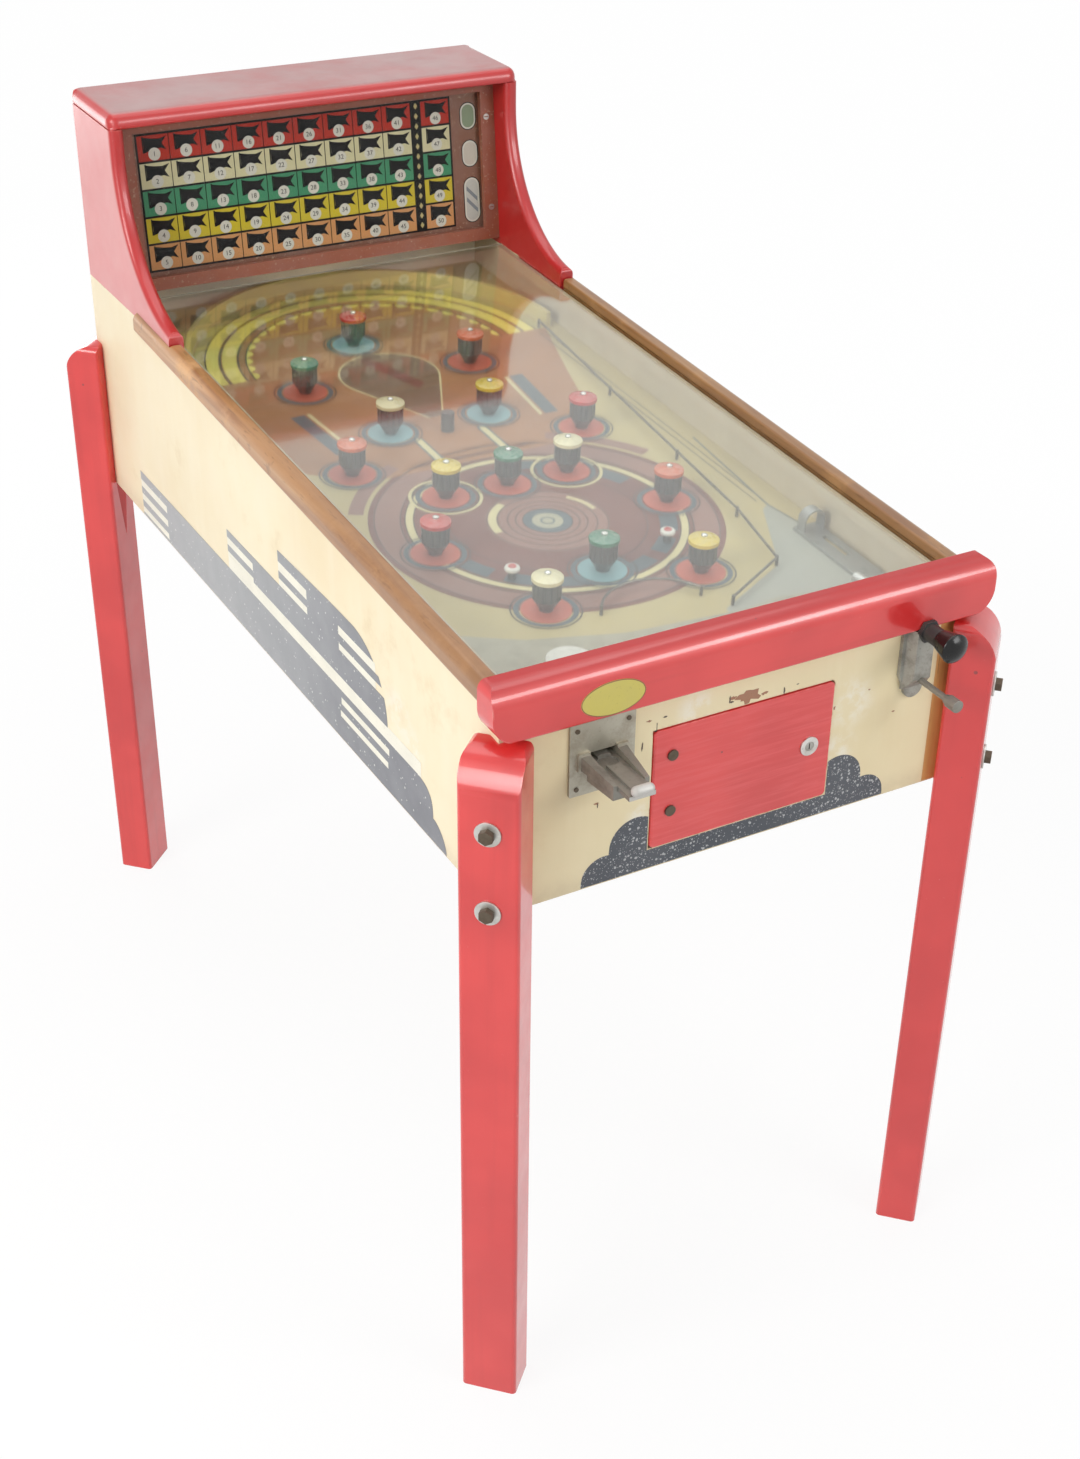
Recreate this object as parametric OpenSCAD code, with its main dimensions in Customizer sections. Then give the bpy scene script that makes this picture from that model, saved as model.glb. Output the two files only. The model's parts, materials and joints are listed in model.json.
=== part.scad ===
// Floor-standing coin-operated bumper pinball table, millimetres.
// +X is the player's right, the front faces -Y, +Z is up and the feet stand on Z = 0.

/* [Cabinet] */
// Width of the cabinet over its side boards
cab_w = 559; // [520:1:600]
// Length of the cabinet from its front face to its rear face
cab_l = 1145; // [1090:1:1200]
// Height of the cabinet's lower edge above the floor
cab_z = 640; // [600:1:680]
// Thickness of the side, front and rear boards
board_t = 19; // [17:0.5:21]
// Height of the front board, up to the underside of the front rail
front_h = 205.5; // [200:0.5:215]
// Slope of the rails, the glass and the playfield in degrees
slope = 2.76; // [2.5:0.02:3]
// Rise of the side boards' sloped edge above the front board's top edge
side_rise = 19.5; // [16:0.5:23]
// Thickness of the bottom board
bottom_t = 12; // [9:0.5:15]
// Height of the bottom board's underside above the cabinet's lower edge
bottom_inset = 6; // [3:0.5:10]
// Length of each inner corner block along the boards
block_leg = 45; // [40:1:50]

/* [Rails and glass] */
// Reach of the front rail past each side of the cabinet
front_rail_over = 14.5; // [6:0.5:24]
// Thickness of the front rail from front to back
front_rail_t = 32; // [28:0.5:36]
// Height of the front rail
front_rail_h = 60; // [54:0.5:66]
// How far the front rail stands proud of the front board
front_rail_proud = 16; // [13:0.5:19]
// Radius of the front rail's upper front edge
front_rail_r = 22; // [16:0.5:25]
// Width of a side rail
rail_w = 21; // [19:0.5:23]
// Height of a side rail
rail_h = 27; // [24:0.5:30]
// How far a side rail overhangs its side board
rail_over = 6; // [5:0.5:8]
// Thickness of the playfield glass
glass_t = 4.8; // [4:0.2:6]
// Height of the glass above the underside of the side rails
glass_h = 11.5; // [10:0.5:13]
// Depth that the glass enters each groove
groove_d = 4.2; // [3:0.2:5]

/* [Backbox] */
// Height of the backbox seat above the cabinet's lower edge
seat_h = 289.5; // [286:0.5:296]
// Height of the backbox above its seat
box_h = 240; // [225:1:260]
// Depth of the backbox at its top board
box_d = 138; // [130:1:150]
// Thickness of the backbox top board
top_t = 19; // [16:0.5:22]
// Radius of the cove in front of each cheek
cove_r = 175; // [165:1:185]
// Drop from the top of the backbox to the start of the cove
cove_drop = 50; // [42:1:60]
// Reach of the cheek tails in front of the cheeks
tail_l = 155; // [145:1:162]
// Radius of the rounded edges of the backbox
box_round = 8; // [5:0.5:9]
// Lean of the score glass in degrees
score_lean = 5.8; // [4:0.1:7]
// Thickness of the score glass
score_t = 3; // [2.5:0.1:4]
// Distance of the score glass's foot behind the cheeks' front edges
score_back = 24; // [21:0.5:30]
// Width of the score glass frame at its sides
frame_side = 20; // [16:0.5:24]
// Height of the score glass frame's bottom strip
frame_foot = 16; // [13:0.5:20]
// Thickness of the score glass frame
frame_t = 8; // [6:0.5:9]
// Thickness of the back door
back_door_t = 12; // [10:0.5:14]

/* [Legs] */
// Gap between the top of a leg and the level of the front rail's underside
leg_gap = 5.5; // [3.5:0.5:9.5]
// Width of a leg across its outer face
leg_w = 63; // [58:0.5:68]
// Reach of a leg outside the cabinet corner, along the diagonal
leg_out = 34; // [30:0.5:38]
// Reach of a leg inside the cabinet corner, along the diagonal
leg_in = 14.5; // [12:0.5:17]
// Radius of a leg's rounded top
leg_round = 42; // [34:0.5:46]
// Radius of a leg's eased long edges
leg_ease = 5; // [3:0.5:7]
// Radius of a leg's upper side corners
leg_corner = 11; // [6:0.5:14]
// Length of the notch's run-out below the cabinet
notch_run = 88; // [60:1:110]
// Height of the lower leg bolts above the cabinet's lower edge
bolt_low = 28; // [24:0.5:36]
// Spacing of the leg bolts
bolt_gap = 91.5; // [80:0.5:100]
// Radius of the leg bolts' shanks
bolt_r = 4.5; // [4:0.1:5.5]
// Radius of the leg bolts' heads
bolt_head_r = 8; // [7:0.5:9]
// Radius of the leg washers
washer_r = 13.5; // [12:0.5:15]

/* [Playfield] */
// Depth of the playfield surface below the underside of the side rails
field_drop = 39; // [36:0.5:42]
// Thickness of the playfield board
field_t = 12.7; // [10:0.5:15]
// Sideways place of the playfield's centre line
field_x = -18; // [-24:1:-12]
// Radius of a bumper's base disc
base_r = 27; // [24:0.5:30]
// Radius of a bumper's body
body_r = 15.5; // [14:0.5:16]
// Height of a bumper up to the rim of its cap
bumper_h = 36; // [33:0.5:38]
// Radius of a bumper's cap
cap_r = 17; // [16:0.5:18.5]
// Number of flutes round a bumper's body
flutes = 14; // [10:1:18]
// Gap between the top arch and the side boards
arch_gap = 14.5; // [8.5:0.5:22.5]
// Height of the top arch
arch_h = 20; // [16:0.5:24]
// Radius of the guide wires
wire_r = 1.5; // [1.2:0.1:2]
// Height of the guide wires above the playfield
wire_h = 10; // [8:0.5:13]

/* [Shooter] */
// Distance of the plunger and the lifter from the cabinet's right side
shooter_in = 70.5; // [65.5:0.5:75.5]
// Height of the plunger's axis above the front board's top edge
plunger_up = -0.5; // [-2:0.5:1]
// Distance from the plunger's axis down to the lifter's axis
lifter_down = 60; // [54:0.5:64]
// Radius of the plunger rod
plunger_r = 4.5; // [4:0.1:5]
// Travel of the plunger
plunger_travel = 45; // [35:1:55]
// Largest radius of the plunger knob
knob_r = 16.5; // [15:0.5:20]
// Length of the plunger knob
knob_l = 29; // [28:0.5:36]
// Radius of the lifter rod
lifter_r = 3.5; // [3:0.1:4]
// Travel of the lifter
lifter_travel = 30; // [22:1:34]
// Reach of the lifter button in front of the front board
lifter_reach = 78; // [72:0.5:82]
// Coils of the plunger spring
spring_turns = 13; // [8:1:14]
// Radius of the plunger spring's wire
spring_wire = 0.8; // [0.6:0.1:1]

/* [Coin side] */
// Distance from the coin door's left edge to the middle of the coin slide
coin_gap = 60; // [56:0.5:64]
// Height of the coin slide's floor above the cabinet's lower edge
coin_up = 147; // [143:0.5:151]
// Width of the coin channel
channel_w = 40; // [36:0.5:44]
// Height of the coin channel
channel_h = 13; // [11:0.5:15]
// Wall of the coin channel
channel_wall = 5; // [4:0.5:6]
// Reach of the coin channel in front of the front board
channel_reach = 58; // [50:0.5:64]
// Reach of the coin slide's tip in front of the front board
slide_reach = 84; // [83:0.5:92]
// Travel of the coin slide
slide_travel = 52; // [40:1:56]
// Radius of the coin seat
coin_r = 10.8; // [9:0.1:12]
// Width of the coin plate
plate_w = 73; // [66:0.5:78]
// Height of the coin plate
plate_h = 82; // [76:0.5:84]
// Thickness of the coin plate
plate_t = 3; // [2:0.5:4]

/* [Coin door] */
// Width of the coin door
door_w = 216; // [200:1:222]
// Height of the coin door
door_h = 138; // [125:1:142]
// Thickness of the coin door
door_t = 6; // [5:0.5:8]
// Height of the coin door's lower edge above the cabinet's lower edge
door_up = 25.5; // [22:0.5:32]
// Gap round the coin door
door_gap = 1.2; // [0.8:0.1:1.6]
// Distance of the lock from the door's right edge
lock_in = 26.5; // [24:0.5:34]
// Radius of the lock barrel
lock_r = 9; // [8:0.5:10]
// Radius of the pivot pins
pin_r = 1.5; // [1.2:0.1:1.8]

/* [Hidden] */
$fn = 48;
// Seating gap between touching pieces, running gap round shafts, and overcut of a cutter
seat = 0.2;
run = 0.06;
over = 1;

half_w = cab_w / 2;
inner_w = half_w - board_t;
front_z = cab_z + front_h;
rail_z = front_z + side_rise;
rail_back = front_rail_t - front_rail_proud;
seat_z = cab_z + seat_h;
box_z = seat_z + box_h;
cheek_z = box_z - top_t;
cheek_y = cab_l - box_d;
cove_y = cheek_y - cove_r;
cove_z = box_z - cove_drop;
tail_y = cheek_y - tail_l;
field_z = rail_z - field_drop;
front_rail_l = cab_w + 2 * front_rail_over;
leg_h = front_z - leg_gap;
shooter_x = half_w - shooter_in;
bottom_z = cab_z + bottom_inset;
floor_z = bottom_z + bottom_t;
function rail_line(y) = rail_z + y * tan(slope);

// The seat's front end lies where the rails end beside the cheek tails
seat_front = cheek_y - 38;
rail_end = seat_front - 3;
glass_x = half_w + rail_over - rail_w + groove_d;
glass_end = cheek_y + score_back - frame_t - 1;
glass_front = (rail_back + seat) / cos(slope) + (glass_h + glass_t) * tan(slope);
slot_gap = 0.3;

// Reach of a leg's outermost corner, which sets the centre of the footprint
leg_reach = (leg_out + leg_w / 2 - 2 * leg_ease) * sqrt(0.5) + leg_ease;
y_mid = (cab_l + leg_reach - slide_reach) / 2;

plunger_z = front_z + plunger_up;
lifter_z = plunger_z - lifter_down;
coin_z = cab_z + coin_up;
door_z = cab_z + door_up;
door_left = -door_w / 2;
door_proud = 1.5;
coin_x = door_left - coin_gap;
door_pivot_x = door_left + door_t / 2;
door_corner = 5;
door_pivot_y = door_t / 2 - door_proud;
lock_x = door_w / 2 - lock_in;
lock_z = door_z + door_h / 2 - 1;

// The playfield's layout is drawn for one length, and stretches along with the board
field_end = cab_l - 37;
drawn_l = 1108;
stretch = field_end / drawn_l;
function laid(p) = [p[0], p[1] * stretch];

// Half layout of the bumpers: sideways distance from the centre line, place along the
// playfield, cap colour on the left, cap colour on the right, base colour
bumper_rows = [
    [0, 900, "red", "red", "blue"],
    [113.5, 793, "green", "orange", "red"],
    [66, 649, "cream", "yellow", "blue"],
    [151.5, 570, "orange", "red", "red"],
    [78.5, 477, "yellow", "cream", "red"],
    [0, 476, "green", "green", "red"],
    [147, 365, "red", "orange", "red"],
    [0, 258, "green", "green", "blue"],
    [95.5, 210, "cream", "yellow", "red"]
];
bumpers = [for (b = bumper_rows) for (s = b[0] == 0 ? [1] : [-1, 1])
    [field_x + s * b[0], b[1] * stretch, s < 0 ? b[2] : b[3], b[4]]];

red_paint = "firebrick";
cream_paint = "wheat";
varnish = "peru";
steel = "silver";
dark_steel = "dimgray";

// Frames

module placed() {
    translate([0, -y_mid, 0]) children();
}

module on_rails() {
    translate([0, 0, rail_z]) rotate([slope, 0, 0]) children();
}

module on_field() {
    translate([0, 0, field_z]) rotate([slope, 0, 0]) children();
}

// Local +X points out along the corner's diagonal
module at_corner(sx, sy) {
    y = sy < 0 ? 0 : cab_l;
    translate([sx * half_w, y, 0]) rotate([0, 0, atan2(sy, sx)]) children();
}

module at_corners() {
    for (sx = [-1, 1]) for (sy = [-1, 1]) at_corner(sx, sy) children();
}

module on_score() {
    translate([0, cheek_y + score_back, seat_z + 8]) rotate([-score_lean, 0, 0]) children();
}

// Profiles

// Extrudes an X-Z outline along Y
module along_y(y0, y1) {
    translate([0, y1, 0]) rotate([90, 0, 0]) linear_extrude(y1 - y0) children();
}

// Extrudes a Y-Z outline along X
module along_x(x0, x1) {
    translate([x0, 0, 0]) rotate([90, 0, 90]) linear_extrude(x1 - x0) children();
}

// Cutter that rounds the corner p of an outline, where q points out of the corner
module corner_cut(p, r, q) {
    translate([p[0] - q[0] * r, p[1] - q[1] * r]) difference() {
        translate([q[0] > 0 ? 0 : -r - over, q[1] > 0 ? 0 : -r - over]) square(r + over);
        circle(r = r);
    }
}

// Rectangle from corner a to corner b with the four corner radii
// lower left, lower right, upper right, upper left
module round_rect(a, b, r) {
    difference() {
        translate(a) square(b - a);
        if (r[0] > 0) corner_cut(a, r[0], [-1, -1]);
        if (r[1] > 0) corner_cut([b[0], a[1]], r[1], [1, -1]);
        if (r[2] > 0) corner_cut(b, r[2], [1, 1]);
        if (r[3] > 0) corner_cut([a[0], b[1]], r[3], [-1, 1]);
    }
}

module rod(p, q, r) {
    d = q - p;
    translate(p) rotate([0, acos(d[2] / norm(d)), atan2(d[1], d[0])]) cylinder(h = norm(d), r = r);
}

// Cylinder along +Y from y0 to y1
module rod_y(x, z, y0, y1, r) {
    translate([x, y0, z]) rotate([-90, 0, 0]) cylinder(h = y1 - y0, r = r);
}

// Cabinet

module leg_bolt_bores(r) {
    for (z = [bolt_low, bolt_low + bolt_gap])
        translate([-3 * block_leg, 0, cab_z + z]) rotate([0, 90, 0])
            cylinder(h = 3 * block_leg + leg_out + over, r = r);
}

module glass_slot() {
    on_rails() translate([-glass_x - slot_gap, 0, glass_h - slot_gap])
        cube([2 * (glass_x + slot_gap), glass_end + 2, glass_t + 2 * slot_gap]);
}

module side_board(sx) {
    x0 = sx > 0 ? inner_w : -half_w;
    difference() {
        along_x(x0, x0 + board_t) polygon([
            [0, cab_z], [cab_l, cab_z], [cab_l, seat_z], [seat_front, seat_z],
            [seat_front, rail_line(seat_front)], [rail_back, rail_line(rail_back)],
            [rail_back, front_z], [0, front_z]]);
        glass_slot();
        for (sy = [-1, 1]) at_corner(sx, sy) leg_bolt_bores(bolt_r + slot_gap);
    }
}

module left_side_board() {
    color(cream_paint) placed() side_board(-1);
}

module right_side_board() {
    color(cream_paint) placed() side_board(1);
}

module front_board() {
    channel_gap = 1;
    color(cream_paint) placed() difference() {
        translate([-inner_w, 0, cab_z]) cube([2 * inner_w, board_t, front_h]);
        along_y(-over, board_t + over) round_rect(
            [door_left - door_gap, door_z - door_gap],
            [-door_left + door_gap, door_z + door_h + door_gap], [0, door_corner, door_corner, 0]);
        translate([coin_x - channel_w / 2 - channel_gap, -over, coin_z - channel_gap])
            cube([channel_w + 2 * channel_gap, board_t + 2 * over, channel_h + 2 * channel_gap]);
        rod_y(shooter_x, plunger_z, -over, board_t + over, plunger_r + 2);
        rod_y(shooter_x, lifter_z, -over, board_t + over, lifter_r + 1.5);
        door_pin_bores(pin_r + run);
        for (sx = [-1, 1]) at_corner(sx, -1) leg_bolt_bores(bolt_r + slot_gap);
    }
}

module rear_board() {
    color(cream_paint) placed() difference() {
        translate([-inner_w, cab_l - board_t, cab_z]) cube([2 * inner_w, board_t, seat_h]);
        back_pin_bores(pin_r + run);
        for (sx = [-1, 1]) at_corner(sx, 1) leg_bolt_bores(bolt_r + slot_gap);
    }
}

module bottom_board() {
    color("burlywood") placed() translate([-inner_w, board_t, bottom_z])
        cube([2 * inner_w, cab_l - 2 * board_t, bottom_t]);
}

block_h = bolt_low + bolt_gap + 25 - bottom_inset - bottom_t;

module corner_blocks() {
    color("burlywood") placed() difference() {
        at_corners() intersection() {
            translate([-2 * board_t * sqrt(0.5) * 2 - block_leg, -block_leg, floor_z])
                cube([3 * block_leg, 2 * block_leg, block_h]);
            translate([-board_t * sqrt(2), 0, 0]) rotate([0, 0, 135])
                linear_extrude(floor_z + block_h)
                    polygon([[0, 0], [block_leg, 0], [0, block_leg]]);
        }
        at_corners() leg_bolt_bores(bolt_r + slot_gap);
    }
}

module front_rail() {
    end_low = 28;
    end_high = 12;
    ease = 3;
    top_z = front_z + front_rail_h;
    half_l = front_rail_l / 2;
    color(red_paint) placed() difference() {
        intersection() {
            along_x(-half_l, half_l) round_rect(
                [-front_rail_proud, front_z], [rail_back, top_z],
                [ease, 0, ease, front_rail_r]);
            along_y(-front_rail_proud - over, rail_back + over) round_rect(
                [-half_l, front_z], [half_l, top_z], [end_low, end_low, end_high, end_high]);
        }
        rod_y(shooter_x, plunger_z, -front_rail_proud - over, rail_back + over, plunger_r + 2);
    }
}

// Bullnose side rail, grooved for the glass, notched beside the cheek tail and cut upright
// where it meets the front rail
module side_rail() {
    x1 = half_w + rail_over;
    nose_top = 11;
    nose_low = 6;
    ease = 3;
    difference() {
        on_rails() difference() {
            along_y(0, rail_end) difference() {
                round_rect([x1 - rail_w, 0], [x1, rail_h], [0, nose_low, nose_top, ease]);
                translate([x1 - rail_w - over, glass_h - slot_gap])
                    square([groove_d + over + slot_gap, glass_t + 2 * slot_gap]);
            }
            translate([x1 - rail_w - over, tail_y - seat, -over])
                cube([rail_w - rail_over + over + seat, rail_end, rail_h + 2 * over]);
        }
        translate([x1 - rail_w - over, -front_rail_t, rail_z - rail_h])
            cube([rail_w + 2 * over, front_rail_t + rail_back + seat, 3 * rail_h]);
    }
}

module left_rail() {
    color(varnish) placed() mirror([1, 0, 0]) side_rail();
}

module right_rail() {
    color(varnish) placed() side_rail();
}

module playfield_glass() {
    color("lightcyan", 0.35) placed() on_rails()
        translate([-glass_x, glass_front, glass_h])
            cube([2 * glass_x, glass_end - glass_front, glass_t]);
}

cleat_low = -4;
cleat_t = 6;

module glass_cleats() {
    color(cream_paint) placed() on_rails() for (sx = [-1, 1])
        translate([sx > 0 ? inner_w - cleat_t : -inner_w, rail_back + 5, cleat_low])
            cube([cleat_t, glass_end - rail_back - 5, glass_h - slot_gap - cleat_low]);
}

module playfield_cleats() {
    strip = 20;
    color("burlywood") placed() on_field() for (sx = [-1, 1])
        translate([sx > 0 ? inner_w - strip : -inner_w, board_t + 10, -field_t - strip])
            cube([strip, cab_l - 3 * board_t - 10, strip]);
}

// Backbox

module cheek_outline() {
    difference() {
        polygon([
            [tail_y, rail_line(tail_y)], [seat_front, rail_line(seat_front)],
            [seat_front, seat_z], [cab_l, seat_z], [cab_l, cheek_z], [tail_y, cheek_z]]);
        translate([cove_y, cove_z]) circle(r = cove_r, $fn = 96);
        translate([tail_y - over, cove_z]) square([tail_l + over, box_h]);
        corner_cut([tail_y, cove_z - sqrt(pow(cove_r, 2) - pow(tail_y - cove_y, 2))], 5, [-1, 1]);
    }
}

// Rounds both front edges of a cheek, down its straight front and along its cove
module cheek_rounding() {
    for (e = [[half_w, 1], [inner_w, -1]]) {
        translate([0, 0, cove_z]) linear_extrude(box_h)
            corner_cut([e[0], cheek_y], box_round, [e[1], -1]);
        translate([0, cove_y, cove_z]) rotate([0, 90, 0]) rotate_extrude(angle = 90, $fn = 96)
            corner_cut([cove_r, e[0]], box_round, [-1, e[1]]);
    }
}

module cheek() {
    difference() {
        along_x(inner_w, half_w) cheek_outline();
        cheek_rounding();
        glass_slot();
    }
}

module left_cheek() {
    color(red_paint) placed() mirror([1, 0, 0]) cheek();
}

// The right cheek also carries the strip that stops the back door and holds its cam
module right_cheek() {
    stop_w = 10;
    stop_t = 9;
    color(red_paint) placed() {
        cheek();
        translate([inner_w - stop_w, cab_l - back_door_t - seat - stop_t, seat_z])
            cube([stop_w, stop_t, cheek_z - seat_z]);
    }
}

module backbox_top() {
    color(red_paint) placed() difference() {
        intersection() {
            along_x(-half_w, half_w) round_rect(
                [cheek_y, cheek_z], [cab_l, box_z], [box_round / 2, 0, 3, box_round]);
            along_y(cheek_y - over, cab_l + over) round_rect(
                [-half_w, cheek_z], [half_w, box_z], [0, 0, box_round, box_round]);
        }
        back_pin_bores(pin_r + run);
    }
}

// Height of the score glass along its lean, below the top board
score_h = (cheek_z - seat_z - 8) / cos(score_lean) - 8;
score_top = 10;

module score_glass() {
    color("khaki", 0.6) placed() on_score()
        translate([-inner_w + 1, 0, 0]) cube([2 * inner_w - 2, score_t, score_h]);
}

module score_frame() {
    w = inner_w - seat;
    color("saddlebrown") placed() on_score() along_y(-frame_t, -seat) difference() {
        translate([-w, 0]) square([2 * w, score_h]);
        translate([-w + frame_side, frame_foot])
            square([2 * (w - frame_side), score_h - frame_foot - score_top]);
    }
}

lamp_cols = 10;
lamp_rows = 5;
lamp_pitch_x = 42;
lamp_pitch_z = 32;
lamp_gap = 18;

module at_lamps() {
    for (c = [0 : lamp_cols - 1]) for (r = [0 : lamp_rows - 1])
        translate([-inner_w + 47 + c * lamp_pitch_x, lamp_gap, frame_foot + 20 + r * lamp_pitch_z])
            children();
}

module lamp_board() {
    lamp_board_t = 10;
    color("tan") placed() on_score() translate([-inner_w + 1, lamp_gap, 0])
        cube([2 * inner_w - 2, lamp_board_t, score_h]);
}

module lamps() {
    socket_r = 6;
    socket_l = 5;
    bulb_r = 5;
    bulb_up = 4;
    color("ivory") placed() on_score() at_lamps() rotate([90, 0, 0]) {
        cylinder(h = socket_l, r = socket_r);
        cylinder(h = socket_l + bulb_up, r = bulb_r - 1);
        translate([0, 0, socket_l + bulb_up]) sphere(r = bulb_r);
    }
}

back_gap = 1.5;
back_pivot_x = -inner_w + back_gap + back_door_t / 2;
back_pivot_y = cab_l - back_door_t / 2;
back_z0 = seat_z + back_gap;
back_z1 = cheek_z - back_gap;
pin_l = 8;

// Board that swings about a rounded edge: x0 is the pivot, the board runs towards +X
module swing_board(x0, x1, y, z0, z1, t, r) {
    translate([x0, y, z0]) cylinder(h = z1 - z0, r = t / 2);
    translate([x0, y, 0]) along_y(-t / 2, t / 2)
        round_rect([0, z0], [x1 - x0, z1], [0, r, r, 0]);
}

module back_pin_bores(r) {
    translate([back_pivot_x, back_pivot_y, back_z0 - pin_l - back_gap])
        cylinder(h = back_z1 - back_z0 + 2 * (pin_l + back_gap), r = r);
}

back_lock_x = inner_w - 40;
back_lock_z = (back_z0 + back_z1) / 2;

module back_door() {
    slot_w = 90;
    slot_h = 8;
    color(red_paint) placed() difference() {
        swing_board(back_pivot_x, inner_w - back_gap, back_pivot_y, back_z0, back_z1, back_door_t, 3);
        back_pin_bores(pin_r + run);
        rod_y(back_lock_x, back_lock_z, cab_l - back_door_t - over, cab_l + over, lock_r + run);
        for (x = [-120, 0, 120]) for (k = [0 : 2])
            translate([0, 0, back_z1 - 30 - k * 18])
                along_y(cab_l - back_door_t - over, cab_l + over)
                    round_rect([x - slot_w / 2, -slot_h / 2], [x + slot_w / 2, slot_h / 2],
                        [3.9, 3.9, 3.9, 3.9]);
    }
}

// Lock with its face towards +Y at the origin: barrel, turning plug and cam
lock_l = 22;
plug_r = 5.5;
cam_l = 36;
cam_w = 12;
cam_t = 2;

module lock_barrel(t) {
    flange_t = 2;
    flange_r = lock_r + 2;
    difference() {
        union() {
            rod_y(0, 0, 0, flange_t, flange_r);
            rod_y(0, 0, -lock_l, 0, lock_r);
            rod_y(0, 0, -t - 5, -t - seat, lock_r + 3);
        }
        rod_y(0, 0, -lock_l - over, flange_t + over, plug_r + run);
    }
}

module lock_plug() {
    key_w = 1.4;
    key_h = 7;
    difference() {
        rod_y(0, 0, -lock_l - cam_t, 1.5, plug_r);
        translate([-key_w / 2, -2, -key_h / 2]) cube([key_w, 4, key_h]);
    }
    along_y(-lock_l - cam_t, -lock_l - seat) round_rect(
        [-cam_w / 2, -cam_l], [cam_w / 2, cam_w / 2], [5, 5, 5.9, 5.9]);
}

module at_back_lock() {
    translate([back_lock_x, cab_l, back_lock_z]) children();
}

module back_lock_barrel() {
    color(steel) placed() at_back_lock() lock_barrel(back_door_t);
}

module back_lock_plug() {
    color(steel) placed() at_back_lock() lock_plug();
}

// Legs

// Corner post with a rounded top, eased edges and a notch that hooks over the corner
module leg() {
    notch_tilt = atan(leg_in / notch_run);
    notch_size = 3 * leg_in;
    difference() {
        intersection() {
            translate([0, leg_w / 2, 0]) rotate([90, 0, 0]) linear_extrude(leg_w)
                round_rect([-leg_in, 0], [leg_out, leg_h], [0, 0, leg_round, 3]);
            linear_extrude(leg_h) round_rect([-leg_in, -leg_w / 2], [leg_out, leg_w / 2],
                [leg_ease, leg_ease, leg_ease, leg_ease]);
        }
        translate([seat, 0, cab_z]) rotate([0, 0, 135]) cube([notch_size, notch_size, leg_h]);
        translate([seat, 0, cab_z]) rotate([0, notch_tilt, 0]) rotate([0, 0, 135])
            translate([0, 0, -2 * notch_run]) cube([notch_size, notch_size, 2 * notch_run + over]);
        along_x(-leg_in - over, leg_out + over) for (s = [-1, 1])
            corner_cut([s * leg_w / 2, leg_h], leg_corner, [s, 1]);
        leg_bolt_bores(bolt_r + slot_gap);
    }
}

module leg_front_left() {
    color(red_paint) placed() at_corner(-1, -1) leg();
}

module leg_front_right() {
    color(red_paint) placed() at_corner(1, -1) leg();
}

module leg_rear_left() {
    color(red_paint) placed() at_corner(-1, 1) leg();
}

module leg_rear_right() {
    color(red_paint) placed() at_corner(1, 1) leg();
}

washer_t = 2;
head_t = 7;
nut_t = 7;
block_face = board_t * sqrt(2) + block_leg * sqrt(0.5);

module at_leg_bolts() {
    at_corners() for (z = [bolt_low, bolt_low + bolt_gap])
        translate([0, 0, cab_z + z]) rotate([0, 90, 0]) children();
}

module leg_bolts() {
    tail = nut_t + 4;
    color(dark_steel) placed() at_leg_bolts() {
        translate([0, 0, -block_face - tail])
            cylinder(h = block_face + tail + leg_out + washer_t, r = bolt_r);
        translate([0, 0, leg_out + washer_t]) cylinder(h = head_t, r = bolt_head_r, $fn = 6);
    }
}

// Washer under each bolt head, and the nut inside
module leg_washers_and_nuts() {
    color(steel) placed() at_leg_bolts() {
        translate([0, 0, leg_out]) difference() {
            cylinder(h = washer_t, r = washer_r);
            translate([0, 0, -over]) cylinder(h = washer_t + 2 * over, r = bolt_r + slot_gap);
        }
        translate([0, 0, -block_face - nut_t]) difference() {
            cylinder(h = nut_t, r = bolt_head_r, $fn = 6);
            translate([0, 0, -over]) cylinder(h = nut_t + 2 * over, r = bolt_r + run);
        }
    }
}

// Playfield

module playfield_board() {
    color("tan") placed() on_field() translate([-inner_w + seat, board_t + 1.5, -field_t])
        cube([2 * (inner_w - seat), field_end - board_t - 1.5, field_t]);
}

back_t = 8;

module field_back_board() {
    back_h = 44;
    color("rosybrown") placed() on_field() translate([-inner_w + seat, field_end - back_t, 0])
        cube([2 * (inner_w - seat), back_t, back_h]);
}

arch_t = 6;
arch_r = inner_w - arch_gap - arch_t;
arch_y = field_end - back_t - 2 - arch_t - arch_r;

module top_arch() {
    color("khaki") placed() on_field() translate([0, arch_y, 0])
        rotate_extrude(angle = 180, $fn = 96)
            translate([arch_r, 0]) square([arch_t, arch_h]);
}

lane_points = [for (p = [[211, 635], [195, 450], [182, 300], [160, 187], [70, 136]]) laid(p)];
lane_start = [arch_r - 10, arch_y + 3];
wire_points = concat([lane_start], lane_points);
loop_centre = laid([-10.5, 144]);
loop_r = 65;
loop_from = 21;
loop_sweep = 128;

// Standing pin that a guide wire is soldered to
module wire_pin(p) {
    translate([p[0], p[1], 0]) cylinder(h = wire_h + wire_r + 0.6, r = wire_r + 0.4);
}

// Lane wire on its row of pins, and the arched wire above the apron on two pins
module guide_wires() {
    color(steel) placed() on_field() {
        for (k = [0 : len(wire_points) - 2]) let (p = wire_points[k], q = wire_points[k + 1])
            rod([p[0], p[1], wire_h], [q[0], q[1], wire_h], wire_r);
        for (p = wire_points) wire_pin(p);
        translate([loop_centre[0], loop_centre[1], wire_h]) rotate([0, 0, loop_from])
            rotate_extrude(angle = loop_sweep) translate([loop_r, 0]) circle(r = wire_r);
        for (a = [loop_from, loop_from + loop_sweep])
            wire_pin(loop_centre + loop_r * [cos(a), sin(a)]);
    }
}

base_t = 1;
rim_t = 5;
dome_t = 3;

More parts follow.
